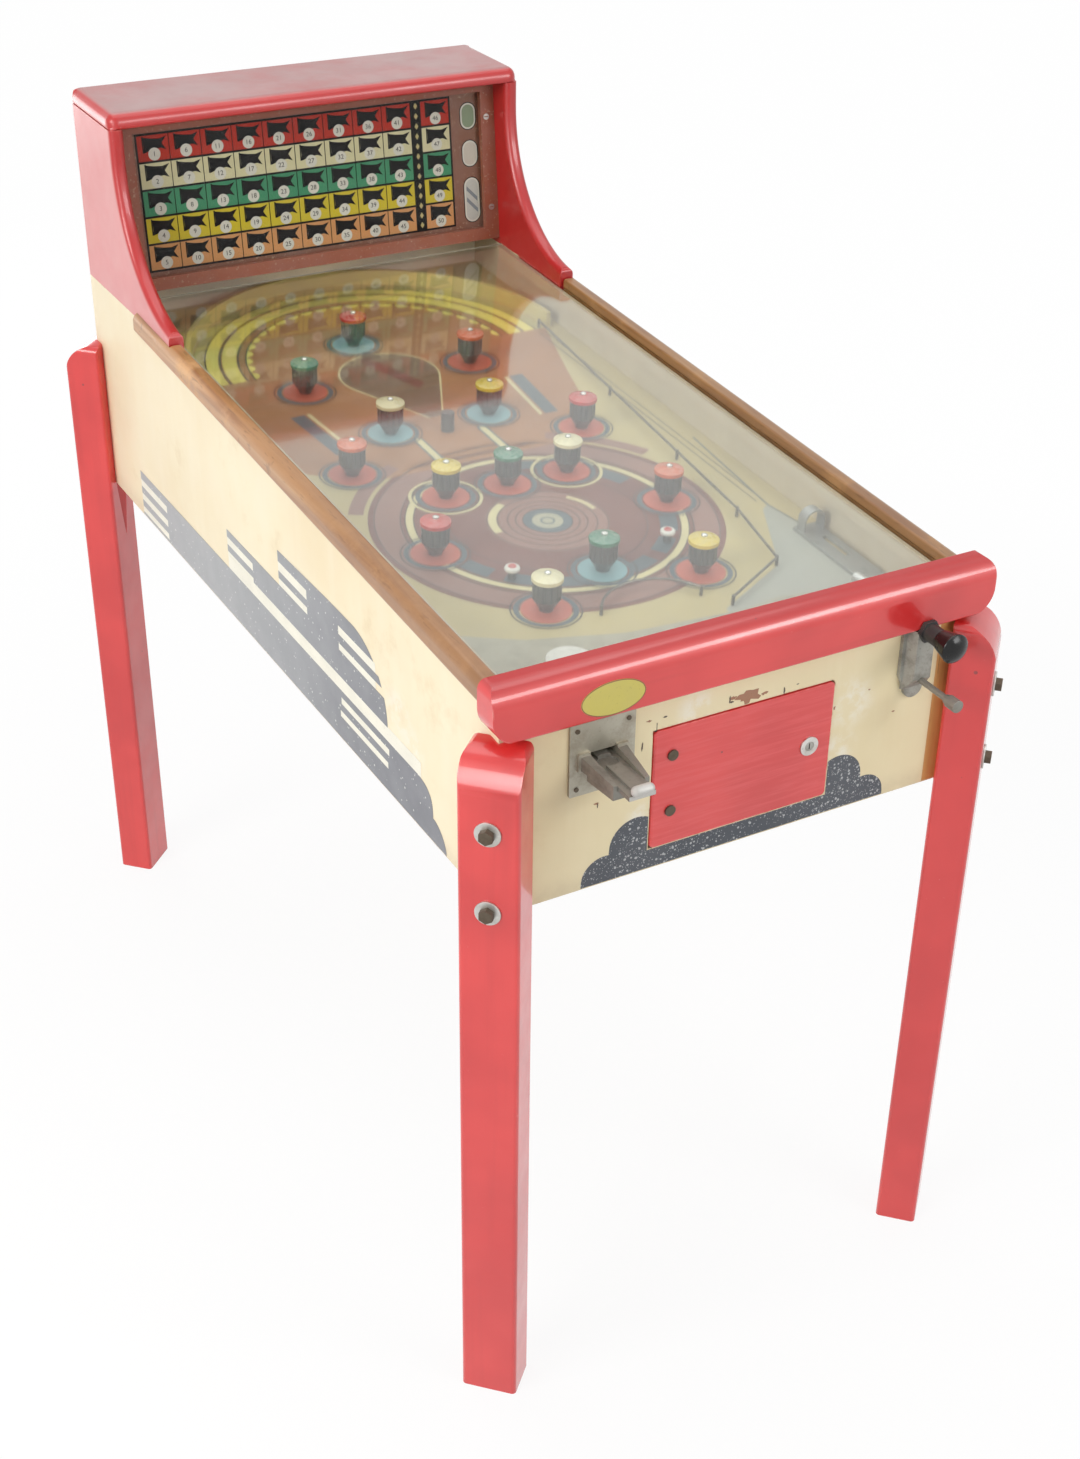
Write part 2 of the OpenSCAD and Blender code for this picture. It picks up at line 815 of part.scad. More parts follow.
module at_bumpers(index, value) {
    on_field() for (b = bumpers) if (index < 0 || b[index] == value)
        translate([b[0], b[1], 0]) children();
}

module bumper_base() {
    cylinder(h = base_t, r = base_r);
}

module bumper_bases_red() {
    color("indianred") placed() at_bumpers(3, "red") bumper_base();
}

module bumper_bases_blue() {
    color("lightblue") placed() at_bumpers(3, "blue") bumper_base();
}

// Fluted drum on a tapered stem
module bumper_body() {
    drum_z = 16;
    stem_r = 7.5;
    stem_z = 2;
    flute_r = 1.4;
    translate([0, 0, base_t]) cylinder(h = stem_z, r = stem_r);
    translate([0, 0, base_t + stem_z]) cylinder(h = drum_z - base_t - stem_z, r1 = stem_r, r2 = body_r);
    translate([0, 0, drum_z]) linear_extrude(bumper_h - drum_z) difference() {
        circle(r = body_r);
        for (k = [0 : flutes - 1]) rotate(k * 360 / flutes)
            translate([body_r + 0.3, 0]) circle(r = flute_r, $fn = 16);
    }
}

module bumper_bodies() {
    color("darkslategray") placed() at_bumpers(-1, 0) bumper_body();
}

// Shallow domed cap
module bumper_cap() {
    dome_r = (pow(cap_r - 1, 2) + pow(dome_t, 2)) / (2 * dome_t);
    translate([0, 0, bumper_h]) {
        cylinder(h = rim_t, r = cap_r);
        translate([0, 0, rim_t]) rotate_extrude() intersection() {
            translate([0, dome_t - dome_r]) circle(r = dome_r, $fn = 96);
            square([cap_r, dome_t]);
        }
    }
}

module bumper_caps_red() {
    color("red") placed() at_bumpers(2, "red") bumper_cap();
}

module bumper_caps_green() {
    color("seagreen") placed() at_bumpers(2, "green") bumper_cap();
}

module bumper_caps_yellow() {
    color("gold") placed() at_bumpers(2, "yellow") bumper_cap();
}

module bumper_caps_cream() {
    color("lemonchiffon") placed() at_bumpers(2, "cream") bumper_cap();
}

module bumper_caps_orange() {
    color("orangered") placed() at_bumpers(2, "orange") bumper_cap();
}

module bumper_pins() {
    head_r = 3.5;
    color(steel) placed() at_bumpers(-1, 0) translate([0, 0, bumper_h + rim_t + dome_t])
        intersection() {
            cylinder(h = 3, r = head_r);
            translate([0, 0, -2]) sphere(r = 5);
        }
}

module field_posts() {
    post_r = 8;
    post_h = 24;
    post_y = 629;
    peg_r = 4.5;
    peg_h = 16;
    peg_x = 97;
    peg_y = 283;
    ring_r = 5.6;
    ring_tube = 2.9;
    ring_z = 12.5;
    color("whitesmoke") placed() on_field() {
        translate([field_x, post_y * stretch, 0]) cylinder(h = post_h, r = post_r);
        for (s = [-1, 1]) translate([field_x + s * peg_x, peg_y * stretch, 0]) {
            cylinder(h = peg_h, r = peg_r);
            translate([0, 0, ring_z]) rotate_extrude() translate([ring_r, 0]) intersection() {
                circle(r = ring_tube);
                translate([-1.5, -ring_tube]) square([ring_tube + 1.5, 2 * ring_tube]);
            }
        }
    }
}

// Steel bed beside the shooter lane, with the slot and the hood where a ball comes up
module ball_lift() {
    bed_w = 32;
    bed_x = inner_w - cleat_t - bed_w;
    bed_y = 100;
    bed_l = 146;
    bed_t = 4;
    slot_w = 7;
    slot_l = 46;
    slot_y = 168;
    hood_r = 14;
    hood_wall = 2;
    hood_h = 12;
    hood_l = 14;
    hood_x = bed_x + bed_w - hood_r - 2;
    hood_y = slot_y + slot_l + 14;
    color(steel) placed() on_field() {
        difference() {
            translate([bed_x, bed_y, 0]) cube([bed_w, bed_l, bed_t]);
            translate([hood_x, slot_y, -over]) cube([slot_w, slot_l, bed_t + 2 * over]);
        }
        translate([hood_x, 0, bed_t]) along_y(hood_y, hood_y + hood_l) difference() {
            union() {
                translate([-hood_r, -bed_t / 2]) square([2 * hood_r, hood_h + bed_t / 2]);
                translate([0, hood_h]) circle(r = hood_r);
            }
            translate([-hood_r + hood_wall, 0]) square([2 * (hood_r - hood_wall), hood_h]);
            translate([0, hood_h]) circle(r = hood_r - hood_wall);
        }
    }
}

// Sheet apron at the player's end, with the white disc beside its left end
module apron() {
    sheet = 1.5;
    disc_r = 25;
    disc_t = 1.5;
    disc_place = laid([-140, 112]);
    left = -inner_w + 1;
    right = 180;
    front = board_t + 2;
    edge = [[right, 120], [120, 128], [70, 122], [-62, 134], [-163, 166], [left, 226]];
    color("gray") placed() on_field() {
        linear_extrude(sheet) polygon(concat([[left, front], [right, front]], [for (p = edge) laid(p)]));
        translate([disc_place[0], disc_place[1], 0]) cylinder(h = sheet + disc_t, r = disc_r);
    }
}

// Shooter

housing_t = 5;
housing_top = front_z - 1;
rib_out = front_rail_proud + 1;
barrel_r = 10;
barrel_end = -39;
button_l = 15;
button_neck = 5;

// Flange outline: parallel sides that draw in to a round lower end
module housing_flange() {
    flange_w = 40;
    foot_r = 12;
    foot_z = lifter_z - 26 + foot_r;
    shoulder_z = lifter_z + 4;
    translate([shooter_x, foot_z]) circle(r = foot_r);
    translate([shooter_x, 0]) polygon([
        [-foot_r, foot_z], [foot_r, foot_z], [flange_w / 2, shoulder_z], [flange_w / 2, housing_top],
        [-flange_w / 2, housing_top], [-flange_w / 2, shoulder_z]]);
}

// Raised rib: its sides lean in towards the front, and its foot slopes back to the flange
module housing_rib() {
    root_w = 33;
    face_w = 22;
    foot_z = lifter_z - 13;
    slope_h = 15;
    intersection() {
        translate([shooter_x, 0, foot_z]) linear_extrude(housing_top - foot_z) polygon([
            [-root_w / 2, -housing_t / 2], [-face_w / 2, -rib_out], [face_w / 2, -rib_out],
            [root_w / 2, -housing_t / 2]]);
        along_x(shooter_x - root_w / 2, shooter_x + root_w / 2) polygon([
            [-housing_t / 2, foot_z], [-housing_t, foot_z], [-rib_out, foot_z + slope_h],
            [-rib_out, housing_top], [-housing_t / 2, housing_top]]);
    }
}

// Cast housing: flange and rib, with the plunger's barrel and its lock nut in front
module shooter_housing() {
    nut_r = 13;
    barrel_nut_t = 5;
    x = shooter_x;
    color("gray") placed() difference() {
        union() {
            along_y(-housing_t, -seat) housing_flange();
            housing_rib();
            rod_y(x, plunger_z, barrel_end, -rib_out, barrel_r);
            translate([x, -rib_out, plunger_z]) rotate([90, 0, 0])
                cylinder(h = barrel_nut_t, r = nut_r, $fn = 6);
        }
        rod_y(x, plunger_z, barrel_end - over, over, plunger_r + run);
        rod_y(x, lifter_z, -rib_out - over, over, lifter_r + run);
    }
}

knob_y = barrel_end - 1;
// The collar leaves room for the closed spring at the end of the plunger's travel
spring_closed = 2 * spring_wire * (spring_turns + 1) + 3;
collar_y = board_t + 1 + spring_closed + plunger_travel;
collar_t = 4;
tip_y = collar_y + 18;

module plunger_rod() {
    tip_r = 6.5;
    color(steel) placed() {
        rod_y(shooter_x, plunger_z, knob_y - knob_l / 2, collar_y, plunger_r);
        rod_y(shooter_x, plunger_z, collar_y, collar_y + collar_t, plunger_r + 2.5);
        rod_y(shooter_x, plunger_z, collar_y + collar_t, tip_y, tip_r);
    }
}

// Black knob that widens towards a domed end
module plunger_knob() {
    neck_r = 11;
    dome_h = 7;
    taper = knob_l - dome_h;
    dome_r = (pow(knob_r, 2) + pow(dome_h, 2)) / (2 * dome_h);
    color("black") placed() translate([shooter_x, knob_y, plunger_z]) rotate([90, 0, 0]) difference() {
        union() {
            cylinder(h = taper, r1 = neck_r, r2 = knob_r);
            translate([0, 0, taper]) rotate_extrude() intersection() {
                translate([0, dome_h - dome_r]) circle(r = dome_r, $fn = 96);
                square([knob_r, dome_h]);
            }
        }
        translate([0, 0, -over]) cylinder(h = knob_l / 2 + over, r = plunger_r);
    }
}

// Open coil spring round the plunger: one tube from a helix formula
spring_y0 = board_t + 1;
spring_y1 = collar_y - 1;
spring_r = plunger_r + spring_wire + 0.5;
rings_per_turn = 8;
ring_sides = 6;
spring_rings = spring_turns * rings_per_turn;
spring_lead = (spring_y1 - spring_y0 - 2 * spring_wire) / spring_turns;
function coil_point(k) = let (a = k * 360 / rings_per_turn)
    [spring_r * cos(a), spring_y0 + spring_wire + spring_lead * k / rings_per_turn, spring_r * sin(a)];
function coil_ring(k) = let (a = k * 360 / rings_per_turn)
    [for (j = [0 : ring_sides - 1]) let (b = j * 360 / ring_sides)
        coil_point(k) + spring_wire * [cos(b) * cos(a), sin(b), cos(b) * sin(a)]];
spring_gap = spring_lead - 2 * spring_wire;

module plunger_spring() {
    points = [for (k = [0 : spring_rings]) each coil_ring(k)];
    n = ring_sides;
    walls = [for (k = [0 : spring_rings - 1]) for (j = [0 : n - 1])
        let (a = k * n + j, b = k * n + (j + 1) % n)
            each [[a, a + n, b], [b, a + n, b + n]]];
    ends = [[for (j = [0 : n - 1]) j], [for (j = [n - 1 : -1 : 0]) spring_rings * n + j]];
    echo(spring_self_gap = spring_gap);
    color(steel) placed() translate([shooter_x, 0, plunger_z])
        polyhedron(points = points, faces = concat(walls, ends));
}

module lifter_rod() {
    button_r = 7;
    inner_l = 40;
    neck_y = -lifter_reach + button_l;
    color("gray") placed() {
        rod_y(shooter_x, lifter_z, neck_y, board_t + inner_l, lifter_r);
        rod_y(shooter_x, lifter_z, -lifter_reach, neck_y, button_r);
        rod_y(shooter_x, lifter_z, neck_y, neck_y + button_neck, button_r - 2);
    }
}

// Coin side

chute_back = board_t + 60;

// Outer channel: wider and higher at its root, with a deeper floor in front of a step
channel_root_w = channel_w + 12;
channel_root_h = channel_h + 3;

module outer_channel() {
    front_h = channel_h - 3;
    step_y = 16;
    skirt = 6;
    intersection() {
        translate([coin_x, 0, coin_z - skirt]) linear_extrude(skirt + channel_root_h) polygon([
            [-channel_w / 2, -channel_reach], [channel_w / 2, -channel_reach],
            [channel_root_w / 2, -plate_t / 2], [-channel_root_w / 2, -plate_t / 2]]);
        along_x(coin_x - channel_root_w / 2, coin_x + channel_root_w / 2) polygon([
            [-plate_t / 2, coin_z], [-step_y, coin_z], [-step_y, coin_z - skirt],
            [-channel_reach, coin_z - skirt], [-channel_reach, coin_z + front_h],
            [-plate_t / 2, coin_z + channel_root_h]]);
    }
}

// Plate with its collar and channel, which carries the slide outside and inside the front board
module coin_plate() {
    floor_t = 3;
    lip = 1.2;
    slot_w = channel_w - 2 * channel_wall;
    plate_z = front_z - 7 - plate_h;
    rivet_r = 2.5;
    collar_t = 3.5;
    collar_over = 2.5;
    collar_w = channel_root_w + 2 * collar_over;
    color("darkgray") placed() {
        difference() {
            union() {
                along_y(-plate_t, -seat) round_rect(
                    [coin_x - plate_w / 2, plate_z], [coin_x + plate_w / 2, plate_z + plate_h],
                    [2, 2, 2, 2]);
                along_y(-plate_t - collar_t, -plate_t / 2) round_rect(
                    [coin_x - collar_w / 2, coin_z - collar_over],
                    [coin_x + collar_w / 2, coin_z + channel_root_h + collar_over], [2, 2, 2, 2]);
                outer_channel();
                translate([coin_x - channel_w / 2, -plate_t, coin_z])
                    cube([channel_w, plate_t + chute_back, channel_h]);
            }
            translate([coin_x - slot_w / 2, -channel_reach - over, coin_z + floor_t])
                cube([slot_w, channel_reach + chute_back + 2 * over, channel_h]);
            translate([coin_x - slot_w / 2, -channel_reach - over, coin_z + floor_t])
                cube([slot_w, channel_reach + over - plate_t, 2 * channel_h]);
        }
        for (sx = [-1, 1]) for (z = [8, plate_h - 8])
            rod_y(coin_x + sx * (plate_w / 2 - 8), plate_z + z, -plate_t - lip, -plate_t / 2, rivet_r);
    }
}

// Bar with a raised middle, the coin seat and a rounded finger tip that stands up at its end
module coin_slide() {
    bar_w = channel_w - 2 * channel_wall - 2 * slot_gap;
    bar_z = coin_z + 3 + slot_gap;
    bar_t = 5;
    ridge_w = bar_w / 2;
    ridge_t = 2.5;
    tip_r = 5.5;
    tip_w = 14;
    tip_lift = 4;
    bar_back = chute_back - slide_travel;
    tip_c = -slide_reach + tip_r;
    color(steel) placed() difference() {
        union() {
            translate([coin_x - bar_w / 2, tip_c, bar_z]) cube([bar_w, bar_back - tip_c, bar_t]);
            translate([coin_x - ridge_w / 2, tip_c, bar_z + bar_t])
                cube([ridge_w, bar_back - tip_c, ridge_t]);
            translate([coin_x, tip_c, bar_z + tip_r + tip_lift]) {
                translate([-tip_w / 2, 0, 0]) rotate([0, 90, 0]) cylinder(h = tip_w, r = tip_r);
                for (s = [-1, 1]) translate([s * tip_w / 2, 0, 0]) sphere(r = tip_r);
            }
        }
        translate([coin_x, -coin_r - 4, bar_z + bar_t + ridge_t - 4.5]) cylinder(h = 5, r = coin_r);
    }
}

module cash_box() {
    wall = 1.5;
    box_w = 170;
    box_l = 150;
    tall = 75;
    left = 60;
    under = 20;
    color(steel) placed() translate([coin_x - left, chute_back - under, floor_z]) difference() {
        cube([box_w, box_l, tall]);
        translate([wall, wall, wall]) cube([box_w - 2 * wall, box_l - 2 * wall, tall]);
    }
}

module door_pin_bores(r) {
    translate([door_pivot_x, door_pivot_y, door_z - door_gap - pin_l])
        cylinder(h = door_h + 2 * (door_gap + pin_l), r = r);
}

// Door with its rounded pivot edge and the two bolt heads beside it
module coin_door() {
    bolt_in = 22;
    bolt_pitch = 66;
    head_r = 6;
    head_h = 2;
    mid_z = door_z + door_h / 2 + 4;
    color(red_paint) placed() {
        difference() {
            swing_board(door_pivot_x, door_w / 2, door_pivot_y, door_z, door_z + door_h, door_t,
                door_corner);
            door_pin_bores(pin_r + run);
            rod_y(lock_x, lock_z, -door_proud - over, board_t, lock_r + run);
            along_y(-door_proud - over, door_t) for (s = [[door_z, -1], [door_z + door_h, 1]])
                corner_cut([door_left, s[0]], door_corner, [-1, s[1]]);
        }
        for (s = [-1, 1])
            rod_y(door_left + bolt_in, mid_z + s * bolt_pitch / 2, -door_proud - head_h, 0, head_r);
    }
}

// Pivot pins of both doors
module door_pins() {
    color(steel) placed() {
        for (z = [door_z - door_gap - pin_l + seat, door_z + door_h - pin_l])
            translate([door_pivot_x, door_pivot_y, z])
                cylinder(h = 2 * pin_l + door_gap - seat, r = pin_r);
        for (z = [back_z0 - pin_l - back_gap + seat, back_z1 - pin_l])
            translate([back_pivot_x, back_pivot_y, z])
                cylinder(h = 2 * pin_l + back_gap - seat, r = pin_r);
    }
}

module at_coin_lock() {
    translate([lock_x, -door_proud, lock_z]) rotate([0, 0, 180]) children();
}

module coin_lock_barrel() {
    color(steel) placed() at_coin_lock() lock_barrel(door_t);
}

module coin_lock_plug() {
    color(steel) placed() at_coin_lock() lock_plug();
}

// Tilt

tilt_y = 330;
tilt_z = field_z - 60;
tilt_x = -inner_w + 30;
tilt_pin_r = 2;

// Bracket on the left side board: plate, pivot pin and the ring round the bob's rod
module tilt_bracket() {
    plate = 3;
    ring_z = tilt_z - 55;
    ring_r = 12;
    color("goldenrod") placed() difference() {
        union() {
            translate([-inner_w, tilt_y - 12, ring_z - 8]) cube([plate, 24, 75]);
            translate([-inner_w, tilt_y, tilt_z]) rotate([0, 90, 0])
                cylinder(h = tilt_x + inner_w + 8, r = tilt_pin_r);
            translate([-inner_w, tilt_y - 4, ring_z]) cube([tilt_x + inner_w - ring_r + 3, 8, 3]);
            translate([tilt_x, tilt_y, ring_z]) cylinder(h = 3, r = ring_r);
        }
        translate([tilt_x, tilt_y, ring_z - over]) cylinder(h = 3 + 2 * over, r = ring_r - 3);
    }
}

module tilt_bob() {
    eye_r = 5;
    drop = 80;
    bob_r = 12;
    color("goldenrod") placed() translate([tilt_x, tilt_y, tilt_z]) difference() {
        union() {
            translate([-3, 0, 0]) rotate([0, 90, 0]) cylinder(h = 6, r = eye_r);
            translate([0, 0, -drop]) cylinder(h = drop, r = 1.5);
            translate([0, 0, -drop - 14]) cylinder(h = 16, r1 = bob_r / 3, r2 = bob_r);
        }
        translate([-4, 0, 0]) rotate([0, 90, 0]) cylinder(h = 8, r = tilt_pin_r + run);
    }
}

// Supply and relays

supply_x = 120;
supply_y = 560;

// Transformer: laminated core with its wound bobbin, on two feet
module transformer() {
    core_w = 78;
    core_t = 40;
    core_h = 66;
    limb = 13;
    coil_out = 13;
    coil_gap = 1;
    foot_t = 3;
    foot_w = 14;
    foot_out = 8;
    middle = core_w / 4;
    window_w = core_w / 2 - limb - middle / 2;
    window_h = core_h - 2 * limb;
    coil_x = middle / 2 + window_w - coil_gap;
    coil_y = core_t / 2 + coil_out;
    color("dimgray") placed() translate([supply_x, supply_y, floor_z + foot_t]) {
        along_y(-core_t / 2, core_t / 2) difference() {
            translate([-core_w / 2, -foot_t / 2]) square([core_w, core_h + foot_t / 2]);
            for (s = [0, 1]) mirror([s, 0]) translate([middle / 2, limb]) square([window_w, window_h]);
        }
        translate([0, 0, limb + coil_gap]) linear_extrude(window_h - 2 * coil_gap)
            round_rect([-coil_x, -coil_y], [coil_x, coil_y], [8, 8, 8, 8]);
        for (s = [-1, 1]) translate([s * core_w / 2 - foot_w, -core_t / 2 - foot_out, -foot_t])
            cube([2 * foot_w, core_t + 2 * foot_out, foot_t]);
    }
}

// Row of relays on a board: coil, yoke, armature and contact stack
module relay_bank() {
    base_w = 240;
    base_l = 90;
    base_h = 10;
    behind = 120;
    relays = 5;
    pitch = 44;
    coil_r = 11;
    coil_l = 42;
    coil_z = 16;
    yoke_t = 4;
    yoke_h = 32;
    heel_t = 3;
    core_r = 4;
    armature_t = 2;
    armature_h = 40;
    sink = 2;
    color("peru") placed() translate([supply_x - base_w / 2, supply_y + behind, floor_z]) {
        cube([base_w, base_l, base_h]);
        for (k = [0 : relays - 1])
            translate([base_w / 2 + (k - (relays - 1) / 2) * pitch, 20, base_h - sink]) {
                translate([-coil_r, 0, 0]) cube([2 * coil_r, yoke_t, yoke_h]);
                translate([-coil_r, 0, 0]) cube([2 * coil_r, coil_l + yoke_t, heel_t + sink]);
                rod_y(0, coil_z + sink, yoke_t / 2, coil_l, coil_r);
                rod_y(0, coil_z + sink, coil_l / 2, coil_l + yoke_t + 1, core_r);
                translate([-coil_r + 3, coil_l + yoke_t, 0]) cube([2 * coil_r - 6, armature_t, armature_h]);
            }
    }
}

left_side_board();
right_side_board();
front_board();
rear_board();
bottom_board();
corner_blocks();
front_rail();
left_rail();
right_rail();
playfield_glass();
glass_cleats();
playfield_cleats();
left_cheek();
right_cheek();
backbox_top();
score_glass();
score_frame();
lamp_board();
lamps();
back_door();
back_lock_barrel();
back_lock_plug();
leg_front_left();
leg_front_right();
leg_rear_left();
leg_rear_right();
leg_bolts();
leg_washers_and_nuts();
playfield_board();
field_back_board();
top_arch();
guide_wires();
bumper_bases_red();
bumper_bases_blue();
bumper_bodies();
bumper_caps_red();
bumper_caps_green();
bumper_caps_yellow();
bumper_caps_cream();
bumper_caps_orange();
bumper_pins();
field_posts();
ball_lift();
apron();
shooter_housing();
plunger_rod();
plunger_knob();
plunger_spring();
lifter_rod();
coin_plate();
coin_slide();
cash_box();
coin_door();
door_pins();
coin_lock_barrel();
coin_lock_plug();
tilt_bracket();
tilt_bob();
transformer();
relay_bank();
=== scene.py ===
# %% [markdown]
# A bumper pinball table of the late nineteen-thirties, dressed for its portrait.
# The construction comes ready made, as a frame of separate solids at their real size.
# Here each solid gets its finish, sharp edges get the round-over that paint and hands
# give them, and everything that is only printed or stencilled is laid on as a thin film.

# %% Load the frame
import json
import math
import random

import bpy
from mathutils import Matrix, Vector

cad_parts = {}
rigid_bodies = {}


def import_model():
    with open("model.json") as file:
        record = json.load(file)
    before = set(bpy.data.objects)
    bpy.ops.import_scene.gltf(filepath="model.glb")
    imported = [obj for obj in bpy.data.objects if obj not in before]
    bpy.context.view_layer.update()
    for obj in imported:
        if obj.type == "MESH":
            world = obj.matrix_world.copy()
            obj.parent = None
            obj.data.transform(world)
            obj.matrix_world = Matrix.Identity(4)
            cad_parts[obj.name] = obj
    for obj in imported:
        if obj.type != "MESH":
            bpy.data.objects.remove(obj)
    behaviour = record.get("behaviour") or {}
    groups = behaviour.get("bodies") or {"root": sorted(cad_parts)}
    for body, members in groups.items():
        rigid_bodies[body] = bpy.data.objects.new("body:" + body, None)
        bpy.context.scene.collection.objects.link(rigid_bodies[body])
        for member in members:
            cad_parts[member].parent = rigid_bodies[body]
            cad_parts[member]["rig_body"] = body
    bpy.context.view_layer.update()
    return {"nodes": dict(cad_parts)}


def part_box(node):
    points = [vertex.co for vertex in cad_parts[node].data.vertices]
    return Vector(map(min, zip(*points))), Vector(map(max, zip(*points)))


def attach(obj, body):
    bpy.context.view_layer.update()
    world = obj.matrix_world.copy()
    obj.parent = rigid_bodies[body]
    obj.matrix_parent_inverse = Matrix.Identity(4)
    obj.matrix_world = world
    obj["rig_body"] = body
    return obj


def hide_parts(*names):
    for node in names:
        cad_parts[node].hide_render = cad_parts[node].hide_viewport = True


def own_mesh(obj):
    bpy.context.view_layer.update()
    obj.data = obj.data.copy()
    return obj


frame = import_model()
nodes = frame["nodes"]

# %% [markdown]
# All places are in metres, with the floor at zero and the player at minus Y.
# The front board's face is the datum for lengths along the cabinet, and the playfield,
# the glass and the side rails share one slope. Each flat surface that carries printing
# gets a plane of its own: a matrix that takes flat drawing coordinates onto the object.

# %% Datums taken from the frame
FRONT_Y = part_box("front_board")[0].y
REAR_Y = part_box("rear_board")[1].y
SIDE_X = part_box("right_side_board")[1].x
INNER_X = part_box("right_side_board")[0].x
CABINET_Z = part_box("front_board")[0].z
FRONT_TOP_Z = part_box("front_board")[1].z
SEAT_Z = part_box("rear_board")[1].z
RAIL_FACE_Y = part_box("front_rail")[0].y
SLOPE = math.radians(2.76)
FIELD_Z = 0.826
FIELD_CENTRE_X = -0.018
SCORE_LEAN, SCORE_IN, SCORE_UP = math.radians(5.8), 0.114, 0.008
UPRIGHT = Matrix.Rotation(math.pi / 2, 4, "X")
FIELD = Matrix.Translation((0, FRONT_Y, FIELD_Z)) @ Matrix.Rotation(SLOPE, 4, "X")
SCORE = (Matrix.Translation((0, REAR_Y - SCORE_IN, SEAT_Z + SCORE_UP))
         @ Matrix.Rotation(math.pi / 2 - SCORE_LEAN, 4, "X"))
FRONT = Matrix.Translation((0, FRONT_Y, 0)) @ UPRIGHT
RAIL_FACE = Matrix.Translation((0, RAIL_FACE_Y, 0)) @ UPRIGHT
print("cabinet length", round(REAR_Y - FRONT_Y, 4), "width", round(2 * SIDE_X, 4))

# %% [markdown]
# The camera comes before the looks, so that every later choice can be judged in the
# photograph's own view. Its place, turn and focal length were fitted to the cabinet's
# corners, and a small shift keeps the picture's framing.

# %% Camera
EYE = Vector((-1.05363, FRONT_Y - 1.46554, 1.87576))
YAW, PITCH, ROLL = (math.radians(a) for a in (31.053, 31.869, 1.822))
FOCAL_PX = 2094.482
FRAME_W, FRAME_H = 1080, 1459
CENTRE_PX = (598.474, 740.165)
SENSOR_MM = 36

forward = Vector((math.sin(YAW) * math.cos(PITCH),
                  math.cos(YAW) * math.cos(PITCH),
                  -math.sin(PITCH)))
level = Vector((math.cos(YAW), -math.sin(YAW), 0))
upright = level.cross(forward)
right = math.cos(ROLL) * level + math.sin(ROLL) * upright
up = math.cos(ROLL) * upright - math.sin(ROLL) * level
camera_data = bpy.data.cameras.new("camera")
camera_data.sensor_fit = "VERTICAL"
camera_data.sensor_height = SENSOR_MM
camera_data.lens = FOCAL_PX / FRAME_H * SENSOR_MM
camera_data.shift_x = (FRAME_W / 2 - CENTRE_PX[0]) / FRAME_H
camera_data.shift_y = (CENTRE_PX[1] - FRAME_H / 2) / FRAME_H
camera = bpy.data.objects.new("camera", camera_data)
turn = Matrix((right, up, -forward)).transposed().to_4x4()
camera.matrix_world = Matrix.Translation(EYE) @ turn
bpy.context.scene.collection.objects.link(camera)
bpy.context.scene.camera = camera
print("camera lens", round(camera_data.lens, 2), "mm")

# %% [markdown]
# Soft light, as in a white photographic cove. The key light stands at the left. A tall
# lamp at the left of the player and a wide one at the right draw the pale bands on the
# rounded red edges. A lamp strong enough for those bands would also bleach the flat
# faces, so each of the two has a twin that only shows in gloss. Two weak lamps open up
# the top and the back.

# %% Lamps
LEFT_PLACE, LEFT_AIM = (-2.55, -1.8, 1.75), (-0.3, FRONT_Y, 0.85)
FRONT_PLACE, FRONT_AIM = (1.35, FRONT_Y - 2.2, 2.2), (0, FRONT_Y, 0.87)
WARM_WHITE = (1.0, 0.985, 0.96)


def soft_lamp(name, place, target, size, watts, colour=(1, 1, 1), gloss_only=False):
    data = bpy.data.lights.new(name, "AREA")
    data.shape = "RECTANGLE"
    data.size, data.size_y = size
    data.energy = watts
    data.color = colour
    lamp = bpy.data.objects.new(name, data)
    lamp.location = place
    direction = Vector(target) - lamp.location
    lamp.rotation_euler = direction.to_track_quat("-Z", "Y").to_euler()
    lamp.visible_camera = False
    lamp.visible_diffuse = not gloss_only
    bpy.context.scene.collection.objects.link(lamp)


soft_lamp("key", (-3.3, -0.8, 2.5), (0, 0, 0.8), (1.7, 1.3), 66, WARM_WHITE)
soft_lamp("left", LEFT_PLACE, LEFT_AIM, (0.4, 2.2), 12)
soft_lamp("front", FRONT_PLACE, FRONT_AIM, (1.6, 0.9), 29)
soft_lamp("left_gloss", LEFT_PLACE, LEFT_AIM, (0.4, 1.8), 36, gloss_only=True)
soft_lamp("front_gloss", FRONT_PLACE, FRONT_AIM, (1.6, 1.0), 44, gloss_only=True)
soft_lamp("top", (0.2, 0.5, 3.6), (0, 0, 0.9), (3.0, 2.4), 42)
soft_lamp("rear", (-0.6, 3.4, 0.9), (0, 0.5, 0.8), (2.2, 1.0), 24)

# %% [markdown]
# The surround is white to the camera and to glossy or clear surfaces, so that the
# playfield glass mirrors it as a haze, with the backbox as a dark shape in the middle. As
# a light it is much weaker, because a white surround at full strength would wash out
# every shadow.

